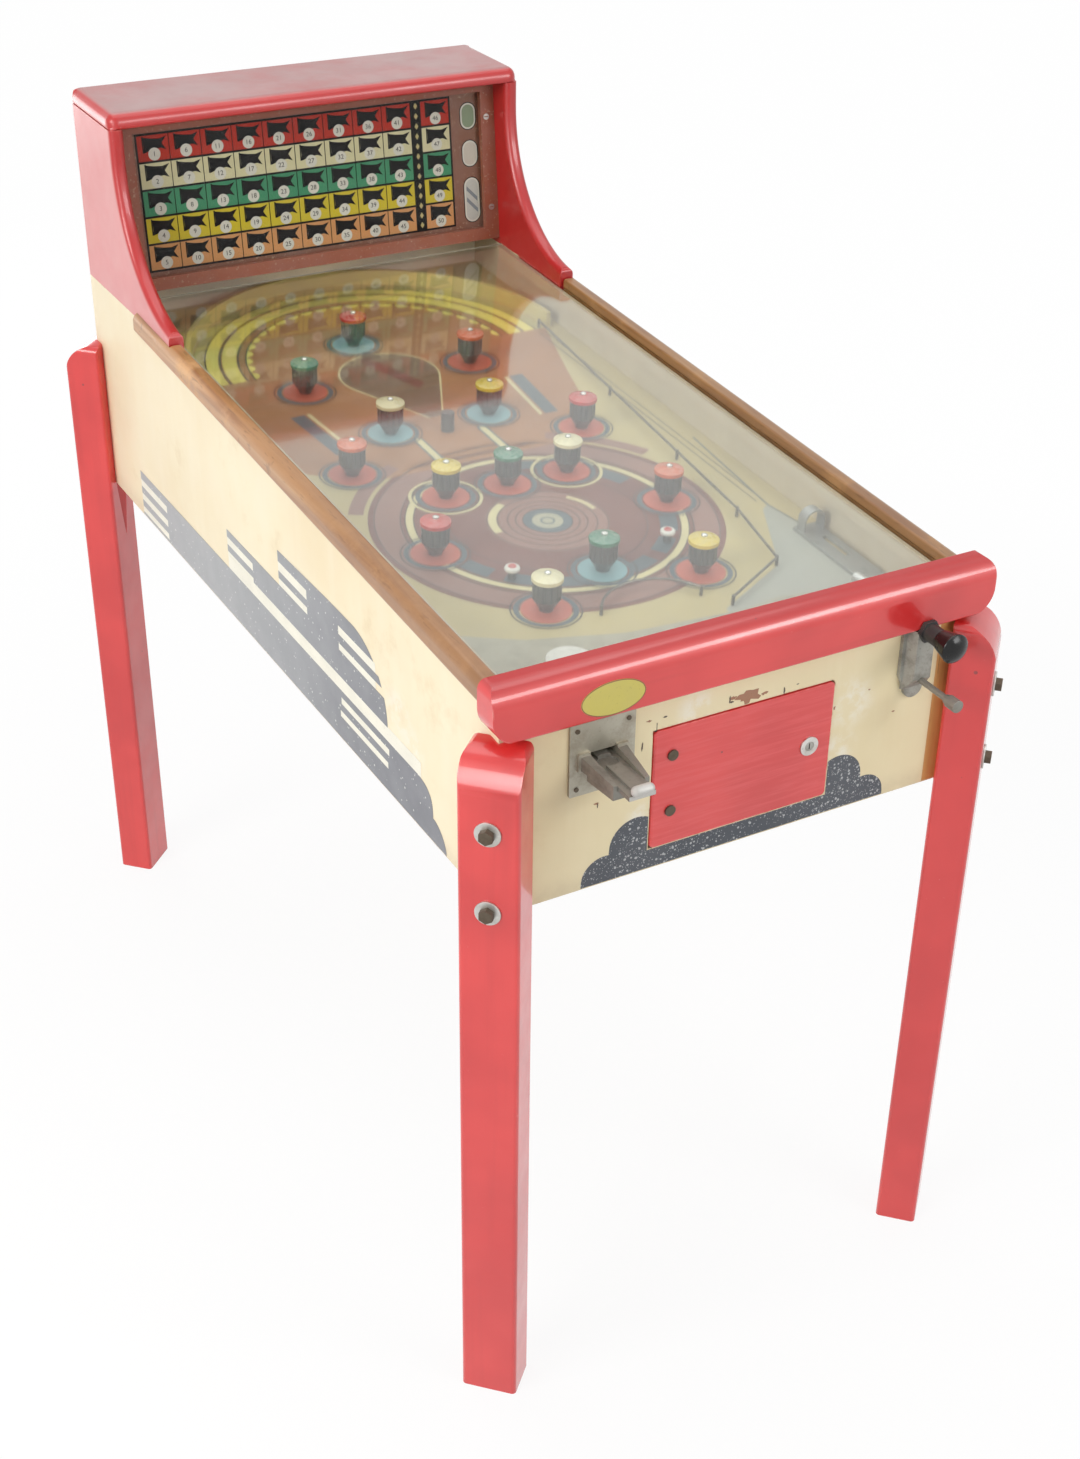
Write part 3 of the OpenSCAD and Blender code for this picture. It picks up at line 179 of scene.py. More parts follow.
# %% Surround
SKY_COLOUR, SKY_STRENGTH = (0.97, 0.98, 1.0, 1), 0.38
world = bpy.data.worlds.new("studio")
bpy.context.scene.world = world
world.use_nodes = True
sky = world.node_tree
sky.nodes.clear()
sky_out = sky.nodes.new("ShaderNodeOutputWorld")
sky_mix = sky.nodes.new("ShaderNodeMixShader")
sky_light = sky.nodes.new("ShaderNodeBackground")
sky_light.inputs["Color"].default_value = SKY_COLOUR
sky_light.inputs["Strength"].default_value = SKY_STRENGTH
sky_white = sky.nodes.new("ShaderNodeBackground")
sky_white.inputs["Color"].default_value = (1, 1, 1, 1)
ray = sky.nodes.new("ShaderNodeLightPath")
camera_or_glossy = sky.nodes.new("ShaderNodeMath")
seen = sky.nodes.new("ShaderNodeMath")
for choice in (camera_or_glossy, seen):
    choice.operation = "MAXIMUM"
for output, socket in (
        (ray.outputs["Is Camera Ray"], camera_or_glossy.inputs[0]),
        (ray.outputs["Is Glossy Ray"], camera_or_glossy.inputs[1]),
        (camera_or_glossy.outputs[0], seen.inputs[0]),
        (ray.outputs["Is Transmission Ray"], seen.inputs[1]),
        (seen.outputs[0], sky_mix.inputs[0]),
        (sky_light.outputs[0], sky_mix.inputs[1]),
        (sky_white.outputs[0], sky_mix.inputs[2]),
        (sky_mix.outputs[0], sky_out.inputs[0])):
    sky.links.new(output, socket)
bpy.context.scene.view_settings.view_transform = "Standard"
print("surround strength", SKY_STRENGTH)


# %% [markdown]
# A finish is a small tree of nodes under one shader. This helper adds nodes by name and
# links them, so each finish below reads as a recipe. Every pattern takes its place from
# Object coordinates, in metres, so a millimetre of grain is a millimetre on the object.

# %% Helper for finishes
class Finish:
    def __init__(self, name):
        self.material = bpy.data.materials.new(name)
        self.material.use_nodes = True
        self.tree = self.material.node_tree
        self.tree.nodes.clear()
        self.shader = self.add("ShaderNodeBsdfPrincipled")
        self.output = self.add("ShaderNodeOutputMaterial")
        self.tree.links.new(self.shader.outputs[0], self.output.inputs[0])
        self.place = self.add("ShaderNodeTexCoord").outputs["Object"]

    def feed(self, socket, value):
        if isinstance(value, bpy.types.NodeSocket):
            self.tree.links.new(value, socket)
        elif hasattr(value, "__len__") and len(value) == 3 and socket.type == "RGBA":
            socket.default_value = (*value, 1)
        else:
            socket.default_value = value

    def add(self, kind, inputs=(), **settings):
        node = self.tree.nodes.new(kind)
        for key, value in settings.items():
            setattr(node, key, value)
        for key, value in dict(inputs).items():
            self.feed(node.inputs[key], value)
        return node

    def stretched(self, x, y, z):
        scaled = self.add("ShaderNodeVectorMath", {0: self.place, 1: (x, y, z)},
                          operation="MULTIPLY")
        return scaled.outputs[0]

    def noise(self, scale, detail=4, roughness=0.55, place=None, distortion=0):
        made = self.add("ShaderNodeTexNoise", {
            "Vector": self.place if place is None else place, "Scale": scale,
            "Detail": detail, "Roughness": roughness, "Distortion": distortion})
        return made.outputs["Fac"]

    def cells(self, scale):
        return self.add("ShaderNodeTexVoronoi", {"Vector": self.place, "Scale": scale})

    def between(self, value, low, high, out_low=0.0, out_high=1.0):
        """A value mapped smoothly from one range to another."""
        made = self.add("ShaderNodeMapRange", {
            "Value": value, "From Min": low, "From Max": high,
            "To Min": out_low, "To Max": out_high}, interpolation_type="SMOOTHSTEP")
        return made.outputs[0]

    def math(self, operation, a, b=0.0):
        return self.add("ShaderNodeMath", {0: a, 1: b}, operation=operation).outputs[0]

    def times(self, *factors):
        product = factors[0]
        for factor in factors[1:]:
            product = self.math("MULTIPLY", product, factor)
        return product

    def mix(self, share, a, b):
        """Colour a, with a share of colour b laid over it."""
        node = self.add("ShaderNodeMix", data_type="RGBA")
        self.feed(node.inputs["Factor"], share)
        self.feed(node.inputs[6], a)
        self.feed(node.inputs[7], b)
        return node.outputs[2]

    def along(self, axis):
        """Place along one axis, in metres."""
        return self.add("ShaderNodeSeparateXYZ", {0: self.place}).outputs[axis]

    def facing(self, axis, low, high, out_low=0.0, out_high=1.0):
        """How far the surface looks along an axis, mapped from a range of -1 to 1."""
        normal = self.add("ShaderNodeNewGeometry").outputs["Normal"]
        part = self.add("ShaderNodeSeparateXYZ", {0: normal}).outputs[axis]
        return self.between(part, low, high, out_low, out_high)

    def spot(self, centre, radius, soft):
        """1 inside a ball round a point, fading out over its soft edge."""
        away = self.add("ShaderNodeVectorMath", {0: self.place, 1: centre}, operation="DISTANCE")
        return self.between(away.outputs["Value"], radius - soft, radius, 1, 0)

    def pits(self, scale, size, share):
        """Small round knocks in a share of the cells of a cell pattern."""
        knocks = self.cells(scale)
        pick = self.add("ShaderNodeSeparateColor", {0: knocks.outputs["Color"]}).outputs[0]
        chosen = self.math("LESS_THAN", pick, share)
        round_knock = self.between(knocks.outputs["Distance"], size * 0.6, size, 1, 0)
        return self.times(round_knock, chosen)

    def edge(self, radius):
        """1 on sharp edges, 0 on flats: how far a rounded normal leans from the true one."""
        rounded = self.add("ShaderNodeBevel", {"Radius": radius}, samples=6)
        true = self.add("ShaderNodeNewGeometry")
        lean = self.add("ShaderNodeVectorMath", {0: rounded.outputs[0], 1: true.outputs["Normal"]},
                        operation="DOT_PRODUCT")
        return self.math("SUBTRACT", 1.0, lean.outputs["Value"])

    def bump(self, height, strength, distance=0.001):
        made = self.add("ShaderNodeBump", {
            "Height": height, "Strength": strength, "Distance": distance})
        self.feed(self.shader.inputs["Normal"], made.outputs[0])

    def set(self, **values):
        """Sets or links the shader's sockets, by their names in small letters."""
        for key, value in values.items():
            socket = key.replace("_", " ").title().replace("Ior", "IOR")
            self.feed(self.shader.inputs[socket], value)


print("finish helper ready")


# %% [markdown]
# The floor is a sheet of white paper that runs on out of sight. White paint alone would
# render grey towards the edges of the picture, so the paper also glows a little where the
# camera or a mirror sees it, and less so near the legs, to keep their soft shadow.

# %% Floor
GLOW_NEAR, GLOW_FAR = 0.90, 0.99
SHADOW_REACH, FLOOR_SIZE = (0.9, 2.2), 60
bpy.ops.object.select_all(action="DESELECT")
bpy.ops.mesh.primitive_plane_add(size=FLOOR_SIZE, location=(0, 0, 0))
floor = bpy.context.object
floor.name = "floor"
paper = Finish("paper_floor")
paper.set(base_color=(0.93, 0.93, 0.93), roughness=0.9)
paper_glow = paper.add("ShaderNodeEmission", {"Color": (1, 1, 1), "Strength": 1.0})
paper_mix = paper.add("ShaderNodeMixShader")
paper_ray = paper.add("ShaderNodeLightPath")
paper_seen = paper.math("MAXIMUM", paper_ray.outputs["Is Camera Ray"],
                        paper_ray.outputs["Is Glossy Ray"])
paper_away = paper.add("ShaderNodeVectorMath", {0: paper.place}, operation="LENGTH")
paper_share = paper.between(paper_away.outputs["Value"], *SHADOW_REACH, GLOW_NEAR, GLOW_FAR)
paper.feed(paper_mix.inputs[0], paper.times(paper_seen, paper_share))
paper.tree.links.new(paper.shader.outputs[0], paper_mix.inputs[1])
paper.tree.links.new(paper_glow.outputs[0], paper_mix.inputs[2])
paper.tree.links.new(paper_mix.outputs[0], paper.output.inputs[0])
floor.data.materials.append(paper.material)
print("floor glows from", GLOW_NEAR, "to", GLOW_FAR)


# %% [markdown]
# Old red enamel on hardwood, under a hard gloss coat. It has sunk unevenly into the
# grain, so the red wanders between two tones. Edges that hands and shoes rub have gone
# pale or down to the wood, and small knocks show as dark pits. The cheeks and top of the
# backbox have a darker red mixed in as painted shade, and a pale painted sheen of the key
# light on their outward faces at the left. The top board's upward faces also carry dust
# with a painted sheen, and the front rail's top has painted shade. The coin door shows the
# brush a little. A picture of worn paint would have to be unwrapped onto every board. A
# recipe of noises needs none of that, and finds the edges to wear by itself.

# %% Red paint
RED_LOW, RED_HIGH, RED_GRAIN = (0.60, 0.021, 0.021), (0.74, 0.038, 0.035), (0.48, 0.014, 0.015)
RED_RUBBED, RED_TO_WOOD, RED_PIT = (0.82, 0.30, 0.26), (0.36, 0.18, 0.10), (0.10, 0.02, 0.02)
# On this line the greyed pink is dust with a painted sheen, and the pale pink a painted sheen.
RED_DUST_SHEEN, RED_SHEEN, RED_BRUSHED = (0.40, 0.29, 0.28), (0.86, 0.44, 0.43), (0.80, 0.10, 0.10)
# The darkest red on this line is a painted shade.
RED_FRESH, RED_SHADE, RED_SCUFF = (0.60, 0.008, 0.008), (0.40, 0.009, 0.010), (0.78, 0.20, 0.19)
SHEEN_SKIN = 0.002


def red_paint(name, along, fade=0.0, left_sheen=0.0, shade_share=0.0, top_shade=0.0, brushed=0.0,
              touch_up=None, holes=(), coat=0.9):
    f = Finish(name)
    grain = f.noise(40, 5, 0.6, f.stretched(*along))
    red = f.mix(f.between(f.noise(5.5, 3), 0.3, 0.7), RED_LOW, RED_HIGH)
    red = f.mix(f.between(grain, 0.45, 0.75, 0, 0.3), red, RED_GRAIN)
    if brushed:
        stroke = f.noise(210, 6, 0.65, f.stretched(0.06, 1, 1))
        red = f.mix(f.between(stroke, 0.4, 0.7, 0, brushed), red, RED_BRUSHED)
    if touch_up:
        red = f.mix(f.times(f.spot(*touch_up), 0.9), red, RED_FRESH)
    # Painted shade: a darker red mixed over every face, by the given share.
    if shade_share:
        red = f.mix(shade_share, red, RED_SHADE)
    # Painted shade: a darker red on faces that look up.
    if top_shade:
        red = f.mix(f.facing("Z", 0.45, 0.95, 0, top_shade), red, RED_SHADE)
    # Dust with a painted sheen: a greyed pink on faces that look up.
    if fade:
        dust = f.between(f.noise(9, 6, 0.65), 0.2, 0.7, 0.6, 1)
        red = f.mix(f.times(f.facing("Z", 0.8, 1.0), dust, fade), red, RED_DUST_SHEEN)
    # Painted sheen of the key light: a pale pink on the outward faces at the left.
    if left_sheen:
        outside = f.between(f.along("X"), -SIDE_X, SHEEN_SKIN - SIDE_X, 1, 0)
        patchy = f.between(f.noise(6, 4), 0.25, 0.75, 0.7, 1)
        sheen_share = f.times(f.facing("X", -1.0, -0.7, 1, 0), outside, patchy, left_sheen)
        red = f.mix(sheen_share, red, RED_SHEEN)
    edges = f.edge(0.004)
    rub = f.times(f.between(edges, 0.02, 0.16), f.between(f.noise(55, 6, 0.7), 0.46, 0.62))
    red = f.mix(f.times(rub, 0.5), red, RED_RUBBED)
    to_wood = f.times(f.between(edges, 0.05, 0.2), f.between(f.noise(90, 4, 0.6), 0.62, 0.68))
    red = f.mix(to_wood, red, RED_TO_WOOD)
    pit = f.pits(34, 0.05, 0.1)
    for hole in holes:
        pit = f.math("MAXIMUM", pit, f.times(f.spot(*hole), 0.8))
    red = f.mix(f.times(pit, 0.85), red, RED_PIT)
    scuff = f.between(f.noise(120, 7, 0.75), 0.66, 0.72, 0, 0.35)
    red = f.mix(scuff, red, RED_SCUFF)
    f.set(base_color=red, roughness=f.between(f.noise(14, 5), 0.3, 0.7, 0.34, 0.5),
          coat_weight=f.facing("Z", 0.9, 1.0, coat, 0.1), coat_roughness=0.1)
    fine = f.math("ADD", f.times(grain, 0.6), f.times(f.noise(420, 2), 0.25))
    f.bump(f.math("SUBTRACT", fine, pit), 0.12, 0.0006)
    return f.material


TOUCH_UP = ((0.181, RAIL_FACE_Y, 0.869), 0.024, 0.008)
HOLE_R, HOLE_SOFT = 0.0025, 0.0008
LEG_HOLES = (((0.2678, FRONT_Y - 0.0329, 0.787), HOLE_R, HOLE_SOFT),
             ((-0.3103, REAR_Y - 0.0158, 0.786), HOLE_R, HOLE_SOFT))
UP_GRAIN, CROSS_GRAIN = (1, 1, 0.05), (0.05, 1, 1)
red_upright = red_paint("red_paint_upright", UP_GRAIN)
red_legs = red_paint("red_paint_legs", UP_GRAIN, holes=LEG_HOLES)
# The cheeks and the top board take painted shade all over, and a painted sheen on their outward
# faces at the left.
red_cheeks = red_paint("red_paint_cheeks", UP_GRAIN, left_sheen=0.62, shade_share=0.75, coat=0.4)
# The top board's upward faces also carry dust with a painted sheen.
red_top = red_paint("red_paint_top", CROSS_GRAIN, fade=0.85, left_sheen=0.62, shade_share=0.7, coat=0.4)
# The rail's top takes painted shade.
red_rail = red_paint("red_paint_rail", CROSS_GRAIN, top_shade=0.8, touch_up=TOUCH_UP)
red_door = red_paint("red_paint_door", CROSS_GRAIN, brushed=0.35)
print("red paints made")


# %% [markdown]
# Cream paint over board. It has yellowed in clouds, shows faint vertical brush marks,
# scattered knocks, rubbed edges and a little grime low down. The front has yellowed
# more than the sides, and has been wiped pale beside the door. One recipe serves for all
# boards, given three tones and the places that were wiped.

# %% Cream paint
SIDE_CREAM = ((0.87, 0.77, 0.55), (0.81, 0.68, 0.45), (0.90, 0.84, 0.67))
FRONT_CREAM = ((0.79, 0.69, 0.44), (0.72, 0.59, 0.34), (0.84, 0.76, 0.54))
# The inner tones are the cream made darker, as painted shade inside the cabinet.
SHADED_INNER_CREAM = ((0.58, 0.51, 0.37), (0.50, 0.42, 0.28), (0.63, 0.57, 0.43))
CREAM_STAIN, CREAM_GRIME, CREAM_WIPED = (0.62, 0.46, 0.25), (0.36, 0.26, 0.15), (0.86, 0.83, 0.73)
CREAM_TO_WOOD, CREAM_KNOCK = (0.45, 0.28, 0.13), (0.25, 0.15, 0.08)
GRIME_H = 0.03


def cream_paint(name, tones, brushed, wiped=()):
    fresh, aged, pale = tones
    f = Finish(name)
    cream = f.mix(f.between(f.noise(3.2, 4), 0.3, 0.72), fresh, aged)
    brush = f.noise(30, 5, 0.6, f.stretched(1, 1, 0.06))
    cream = f.mix(f.between(brush, 0.4, 0.8, 0, brushed), cream, pale)
    stain = f.times(f.between(f.noise(9, 6, 0.65), 0.56, 0.75), 0.4)
    cream = f.mix(stain, cream, CREAM_STAIN)
    for place in wiped:
        smear = f.between(f.noise(45, 6, 0.65), 0.42, 0.6, 0.05, 0.65)
        cream = f.mix(f.times(f.spot(*place), smear), cream, CREAM_WIPED)
    low = f.between(f.along("Z"), CABINET_Z, CABINET_Z + GRIME_H, 0.4, 0)
    cream = f.mix(f.times(low, f.noise(60, 5, 0.7)), cream, CREAM_GRIME)
    edges = f.edge(0.003)
    rub = f.times(f.between(edges, 0.03, 0.2), f.between(f.noise(70, 6, 0.7), 0.5, 0.62))
    cream = f.mix(rub, cream, CREAM_TO_WOOD)
    knock = f.pits(26, 0.045, 0.12)
    cream = f.mix(f.times(knock, 0.8), cream, CREAM_KNOCK)
    fine_scratch = f.between(f.noise(150, 6, 0.75, f.stretched(0.35, 1, 1.7)), 0.66, 0.71, 0, 0.3)
    cream = f.mix(fine_scratch, cream, CREAM_STAIN)
    f.set(base_color=cream, roughness=f.between(f.noise(18, 5), 0.3, 0.7, 0.38, 0.55),
          coat_weight=0.12, coat_roughness=0.2)
    f.bump(f.math("SUBTRACT", brush, knock), 0.12, 0.0005)
    return f.material


WIPED_CORE = 0.004
SIDE_WIPED = tuple(((side * SIDE_X, FRONT_Y + y, z), r, r - WIPED_CORE) for side in (-1, 1)
                   for y, z, r in ((0.222, 0.752, 0.040), (0.186, 0.728, 0.034)))
FRONT_WIPED = (((0.132, FRONT_Y, 0.771), 0.040, 0.032), ((0.124, FRONT_Y, 0.719), 0.026, 0.020),
               ((-0.121, FRONT_Y, 0.708), 0.022, 0.018), ((-0.060, FRONT_Y, 0.815), 0.030, 0.024))
cream_sides = cream_paint("cream_paint_sides", SIDE_CREAM, 0.2, SIDE_WIPED)
cream_front = cream_paint("cream_paint_front", FRONT_CREAM, 0.35, FRONT_WIPED)
cream_inner_shaded = cream_paint("cream_paint_inner_shaded", SHADED_INNER_CREAM, 0.3)
print("cream paints made")


# %% [markdown]
# Varnished hardwood rails, worn by forearms: long grain, dark flecks, and pale rubbed
# patches where the varnish has gone. Towards the player the left one has darkened. The
# grain is one noise, drawn out along the length of the board, which needs no unwrapping.

# %% Varnished and bare wood
HANDLED_FROM, HANDLED_TO = FRONT_Y + 0.05, FRONT_Y + 0.75


def wood(name, along, dark, mid, light, gloss, coat, darkened=0.0):
    f = Finish(name)
    long_grain = f.noise(70, 8, 0.62, f.stretched(*along), 0.6)
    tone = f.mix(f.between(long_grain, 0.32, 0.56), dark, mid)
    tone = f.mix(f.between(long_grain, 0.52, 0.78), tone, light)
    fleck_run = f.stretched(*(1.0 if a == 1 else 0.12 for a in along))
    fleck = f.between(f.noise(260, 3, 0.5, fleck_run), 0.62, 0.7)
    tone = f.mix(f.times(fleck, 0.5), tone, tuple(c * 0.55 for c in dark))
    worn = f.between(f.noise(11, 6, 0.7), 0.52, 0.68)
    tone = f.mix(f.times(worn, 0.5), tone, tuple(min(1, c * 1.3) for c in light))
    marks = f.between(f.noise(23, 4, 0.65), 0.63, 0.71)
    tone = f.mix(f.times(marks, 0.55), tone, tuple(c * 0.55 for c in dark))
    if darkened:
        handled = f.times(f.between(f.along("Y"), HANDLED_FROM, HANDLED_TO, darkened, 0),
                          f.between(f.noise(14, 5, 0.65), 0.3, 0.65, 0.55, 1))
        tone = f.mix(handled, tone, tuple(c * 0.75 for c in dark))
    f.set(base_color=tone, roughness=f.between(worn, 0, 1, gloss, gloss + 0.2), coat_weight=coat,
          coat_roughness=0.14)
    f.bump(long_grain, 0.18, 0.0005)
    return f.material


ALONG_Y, ALONG_X, ALONG_Z = (1, 0.03, 1), (0.04, 1, 1), (1, 1, 0.04)
varnish = wood("varnish", ALONG_Y,
               (0.32, 0.14, 0.048), (0.47, 0.235, 0.09), (0.58, 0.33, 0.145), 0.3, 0.3, 0.85)
# The right rail's varnish is a darker copy of the left one's, as painted shade.
varnish_right_shaded = wood("varnish_right_shaded", ALONG_Y,
                     (0.22, 0.092, 0.028), (0.31, 0.150, 0.050), (0.40, 0.216, 0.084), 0.36, 0.2)
bare_wood = wood("bare_wood", ALONG_X,
                 (0.40, 0.26, 0.13), (0.58, 0.42, 0.24), (0.68, 0.53, 0.33), 0.6, 0.0)
strip_wood = wood("strip_wood", ALONG_Z,
                  (0.44, 0.20, 0.06), (0.62, 0.33, 0.11), (0.70, 0.42, 0.16), 0.4, 0.2)
print("wood finishes made")


# %% [markdown]
# Metals. Worn nickel on the locks and the slide's tip, tarnished plate on the coin slide,
# bare steel on washers, dark steel on wires and bolts, a grey casting round the plunger,
# and black iron on its barrel. None of it is bright any more, so one recipe mixes grime
# and fine scratches into each colour, and dulls the gloss by the same haze.

# %% Metals
def metal(name, colour, rough, grime, metallic=1.0):
    f = Finish(name)
    haze = f.noise(38, 6, 0.65)
    lines = f.noise(420, 3, 0.6, f.stretched(1, 0.05, 1))
    tone = f.mix(f.between(haze, 0.42, 0.75, 0, 0.8), colour, grime)
    bright = tuple(min(1, c * 1.25) for c in colour)
    tone = f.mix(f.between(lines, 0.5, 0.8, 0, 0.25), tone, bright)
    tone = f.mix(f.times(f.between(f.noise(160, 4, 0.7), 0.6, 0.7), 0.5), tone, grime)
    f.set(base_color=tone, metallic=metallic,
          roughness=f.between(haze, 0.3, 0.75, rough, rough + 0.22))
    f.bump(f.math("ADD", lines, f.noise(230, 4)), 0.1, 0.0003)
    return f.material


nickel = metal("nickel", (0.66, 0.65, 0.62), 0.24, (0.36, 0.33, 0.29))
tip_nickel = metal("tip_nickel", (0.50, 0.49, 0.46), 0.5, (0.40, 0.38, 0.35), 0.3)
steel = metal("steel", (0.60, 0.60, 0.57), 0.3, (0.36, 0.34, 0.30))
wire_steel = metal("wire_steel", (0.17, 0.16, 0.14), 0.36, (0.11, 0.095, 0.08), 0.8)
dark_steel = metal("dark_steel", (0.075, 0.068, 0.060), 0.38, (0.16, 0.10, 0.06), 0.8)
bolt_steel = metal("bolt_steel", (0.12, 0.095, 0.07), 0.4, (0.08, 0.06, 0.04), 0.8)
plate_metal = metal("plate_metal", (0.41, 0.385, 0.315), 0.38, (0.25, 0.22, 0.17), 0.75)
slide_metal = metal("slide_metal", (0.25, 0.24, 0.21), 0.42, (0.14, 0.12, 0.095), 0.5)
black_iron = metal("black_iron", (0.022, 0.022, 0.022), 0.34, (0.05, 0.045, 0.04), 0.2)
plug_metal = metal("plug_metal", (0.42, 0.41, 0.38), 0.34, (0.20, 0.19, 0.165), 0.8)
lift_metal = metal("lift_metal", (0.34, 0.34, 0.31), 0.34, (0.22, 0.21, 0.18), 0.5)
cast_grey = metal("cast_grey", (0.34, 0.335, 0.295), 0.42, (0.10, 0.09, 0.07), 0.4)
brass = metal("brass", (0.68, 0.48, 0.20), 0.3, (0.35, 0.24, 0.11))
copper = metal("copper", (0.50, 0.20, 0.09), 0.34, (0.28, 0.12, 0.06))
grey_sheet = metal("grey_sheet", (0.43, 0.40, 0.30), 0.4, (0.33, 0.30, 0.22), 0.2)
print("metals made")


# %% [markdown]
# Moulded plastic for the bumpers and the knob: glossy, a little scratched, dusty on top.
# The dust lies where a face looks up, so it follows every shape without being painted.

# %% Plastics
DUST = (0.62, 0.58, 0.50)


def plastic(name, colour, rough=0.22, dust=0.25, shine=0.5):
    f = Finish(name)
    darker = tuple(c * 0.72 for c in colour)
    tone = f.mix(f.between(f.noise(120, 4), 0.35, 0.7, 0, 0.4), colour, darker)
    settled = f.between(f.noise(200, 5, 0.7), 0.35, 0.7)
    tone = f.mix(f.times(f.facing("Z", 0.4, 1.0), dust, settled), tone, DUST)
    f.set(base_color=tone, roughness=f.between(f.noise(70, 5), 0.3, 0.7, rough, rough + 0.2),
          coat_weight=0.2, specular_ior_level=shine)
    f.bump(f.noise(600, 3), 0.05, 0.0003)
    return f.material


CAP_COLOURS = {
    "red": (0.55, 0.045, 0.035),
    "green": (0.06, 0.22, 0.13),
    "yellow": (0.74, 0.56, 0.08),
    "cream": (0.80, 0.72, 0.44),
    "orange": (0.66, 0.15, 0.06),
}
caps = {name: plastic("cap_" + name, colour) for name, colour in CAP_COLOURS.items()}
bumper_dark = plastic("bumper_dark", (0.095, 0.100, 0.092), 0.26, 0.1)
black_plastic = plastic("black_plastic", (0.007, 0.007, 0.007), 0.12, 0.02, 0.25)
white_rubber = plastic("white_rubber", (0.80, 0.78, 0.70), 0.4, 0.1)
print("plastics made")


# %% [markdown]
# Printed and stencilled colours have a satin face, a little mottled and scuffed, so that
# no colour is dead flat. They differ only in their tone and gloss, so one recipe makes
# them all, each where it is first needed.

# %% Inks
FLECK_TAN = (0.56, 0.42, 0.28)


def ink(name, colour, rough=0.42, fade=0.3, fleck=0.0, shine=0.5):
    f = Finish(name)
    soft = f.noise(22, 5)
    faded = tuple(c * 0.6 + 0.12 for c in colour)
    scuffed = tuple(c * 0.5 for c in colour)
    tone = f.mix(f.between(soft, 0.3, 0.75, 0, fade), colour, faded)
    tone = f.mix(f.between(f.noise(340, 3), 0.62, 0.7, 0, 0.3), tone, scuffed)
    if fleck:
        tone = f.mix(f.between(f.noise(210, 5, 0.7), 0.58, 0.68, 0, fleck), tone, FLECK_TAN)
    f.set(base_color=tone, roughness=f.between(soft, 0.3, 0.7, rough, rough + 0.15),
          specular_ior_level=shine)
    f.bump(f.noise(500, 2), 0.04, 0.0002)
    return f.material


stencil_white = ink("stencil_white", (0.84, 0.81, 0.69))
print("ink recipe ready")


# %% [markdown]
# The stencils' blue-grey has white spatter flicked over it. Three cell patterns give
# three sizes of drop, and a share of each pattern's cells gets one: few and in patches on
# the sides, many and even on the front. The sides' grey is a lighter copy of the front's,
# as painted sheen, and grows paler towards the back, as more painted sheen.

# %% Spattered paint
BACK_SHEEN_FROM, BACK_SHEEN_TO = FRONT_Y + 0.12, FRONT_Y + 0.85


def spattered(name, ground_low, ground_high, drops, drop_colour, patchy, back_sheen=None):
    f = Finish(name)
    ground = f.mix(f.between(f.noise(7, 5), 0.3, 0.7), ground_low, ground_high)
    # Painted sheen: the ground grows paler towards the back.
    if back_sheen:
        ground = f.mix(f.between(f.along("Y"), BACK_SHEEN_FROM, BACK_SHEEN_TO), ground, back_sheen)
    thick = f.between(f.noise(7, 4), 0.32, 0.66, 1 - patchy, 1)
    dots = 0.0
    for scale, size, share in drops:
        drop_cells = f.cells(scale)
        pick = f.add("ShaderNodeSeparateColor", {0: drop_cells.outputs["Color"]})
        chosen = f.math("LESS_THAN", pick.outputs[0], f.times(thick, share))
        reach = f.times(f.math("ADD", pick.outputs[1], 0.35), size)
        beyond = f.math("SUBTRACT", drop_cells.outputs["Distance"], reach)
        dots = f.math("MAXIMUM", dots, f.times(f.between(beyond, -0.05, 0.02, 1, 0), chosen))
    f.set(base_color=f.mix(f.times(dots, 0.8), ground, drop_colour),
          roughness=f.between(f.noise(30, 4), 0.3, 0.7, 0.4, 0.55))
    f.bump(dots, 0.1, 0.0002)
    return f.material


SIDE_DROPS = ((140, 0.20, 0.30), (240, 0.27, 0.36), (90, 0.11, 0.22))
FRONT_DROPS = ((210, 0.25, 0.6), (300, 0.30, 0.65), (430, 0.32, 0.7))
# The sides' ground is lighter than the front's, as a painted sheen.
side_stencil_lit = spattered("side_stencil_lit", (0.175, 0.180, 0.200), (0.225, 0.230, 0.250),
                         SIDE_DROPS, (0.74, 0.74, 0.71), 0.75, (0.385, 0.392, 0.400))
front_stencil = spattered("front_stencil", (0.056, 0.064, 0.078), (0.080, 0.088, 0.102),
                          FRONT_DROPS, (0.50, 0.51, 0.51), 0.4)
print("spattered paints made")


# %% [markdown]
# The playfield glass is true glass, a little dull with age, with one allowance: rays from
# lamps pass straight through, so that the playfield under it is lit. The score glass is
# thinner and cleaner, so it mirrors less. The ground ends of the large pane are dull and
# brownish.

# %% Glass
def clear_glass(name, tint, index, dull=0.0):
    f = Finish(name)
    f.set(base_color=tint, roughness=dull, transmission_weight=1.0, ior=index)
    lamp_ray = f.add("ShaderNodeLightPath")
    passes = f.math("MAXIMUM", lamp_ray.outputs["Is Shadow Ray"],
                    lamp_ray.outputs["Is Diffuse Ray"])
    straight = f.add("ShaderNodeBsdfTransparent", {"Color": tint})
    choice = f.add("ShaderNodeMixShader")
    f.feed(choice.inputs[0], passes)
    f.tree.links.new(f.shader.outputs[0], choice.inputs[1])
    f.tree.links.new(straight.outputs[0], choice.inputs[2])
    f.tree.links.new(choice.outputs[0], f.output.inputs[0])
    return f.material


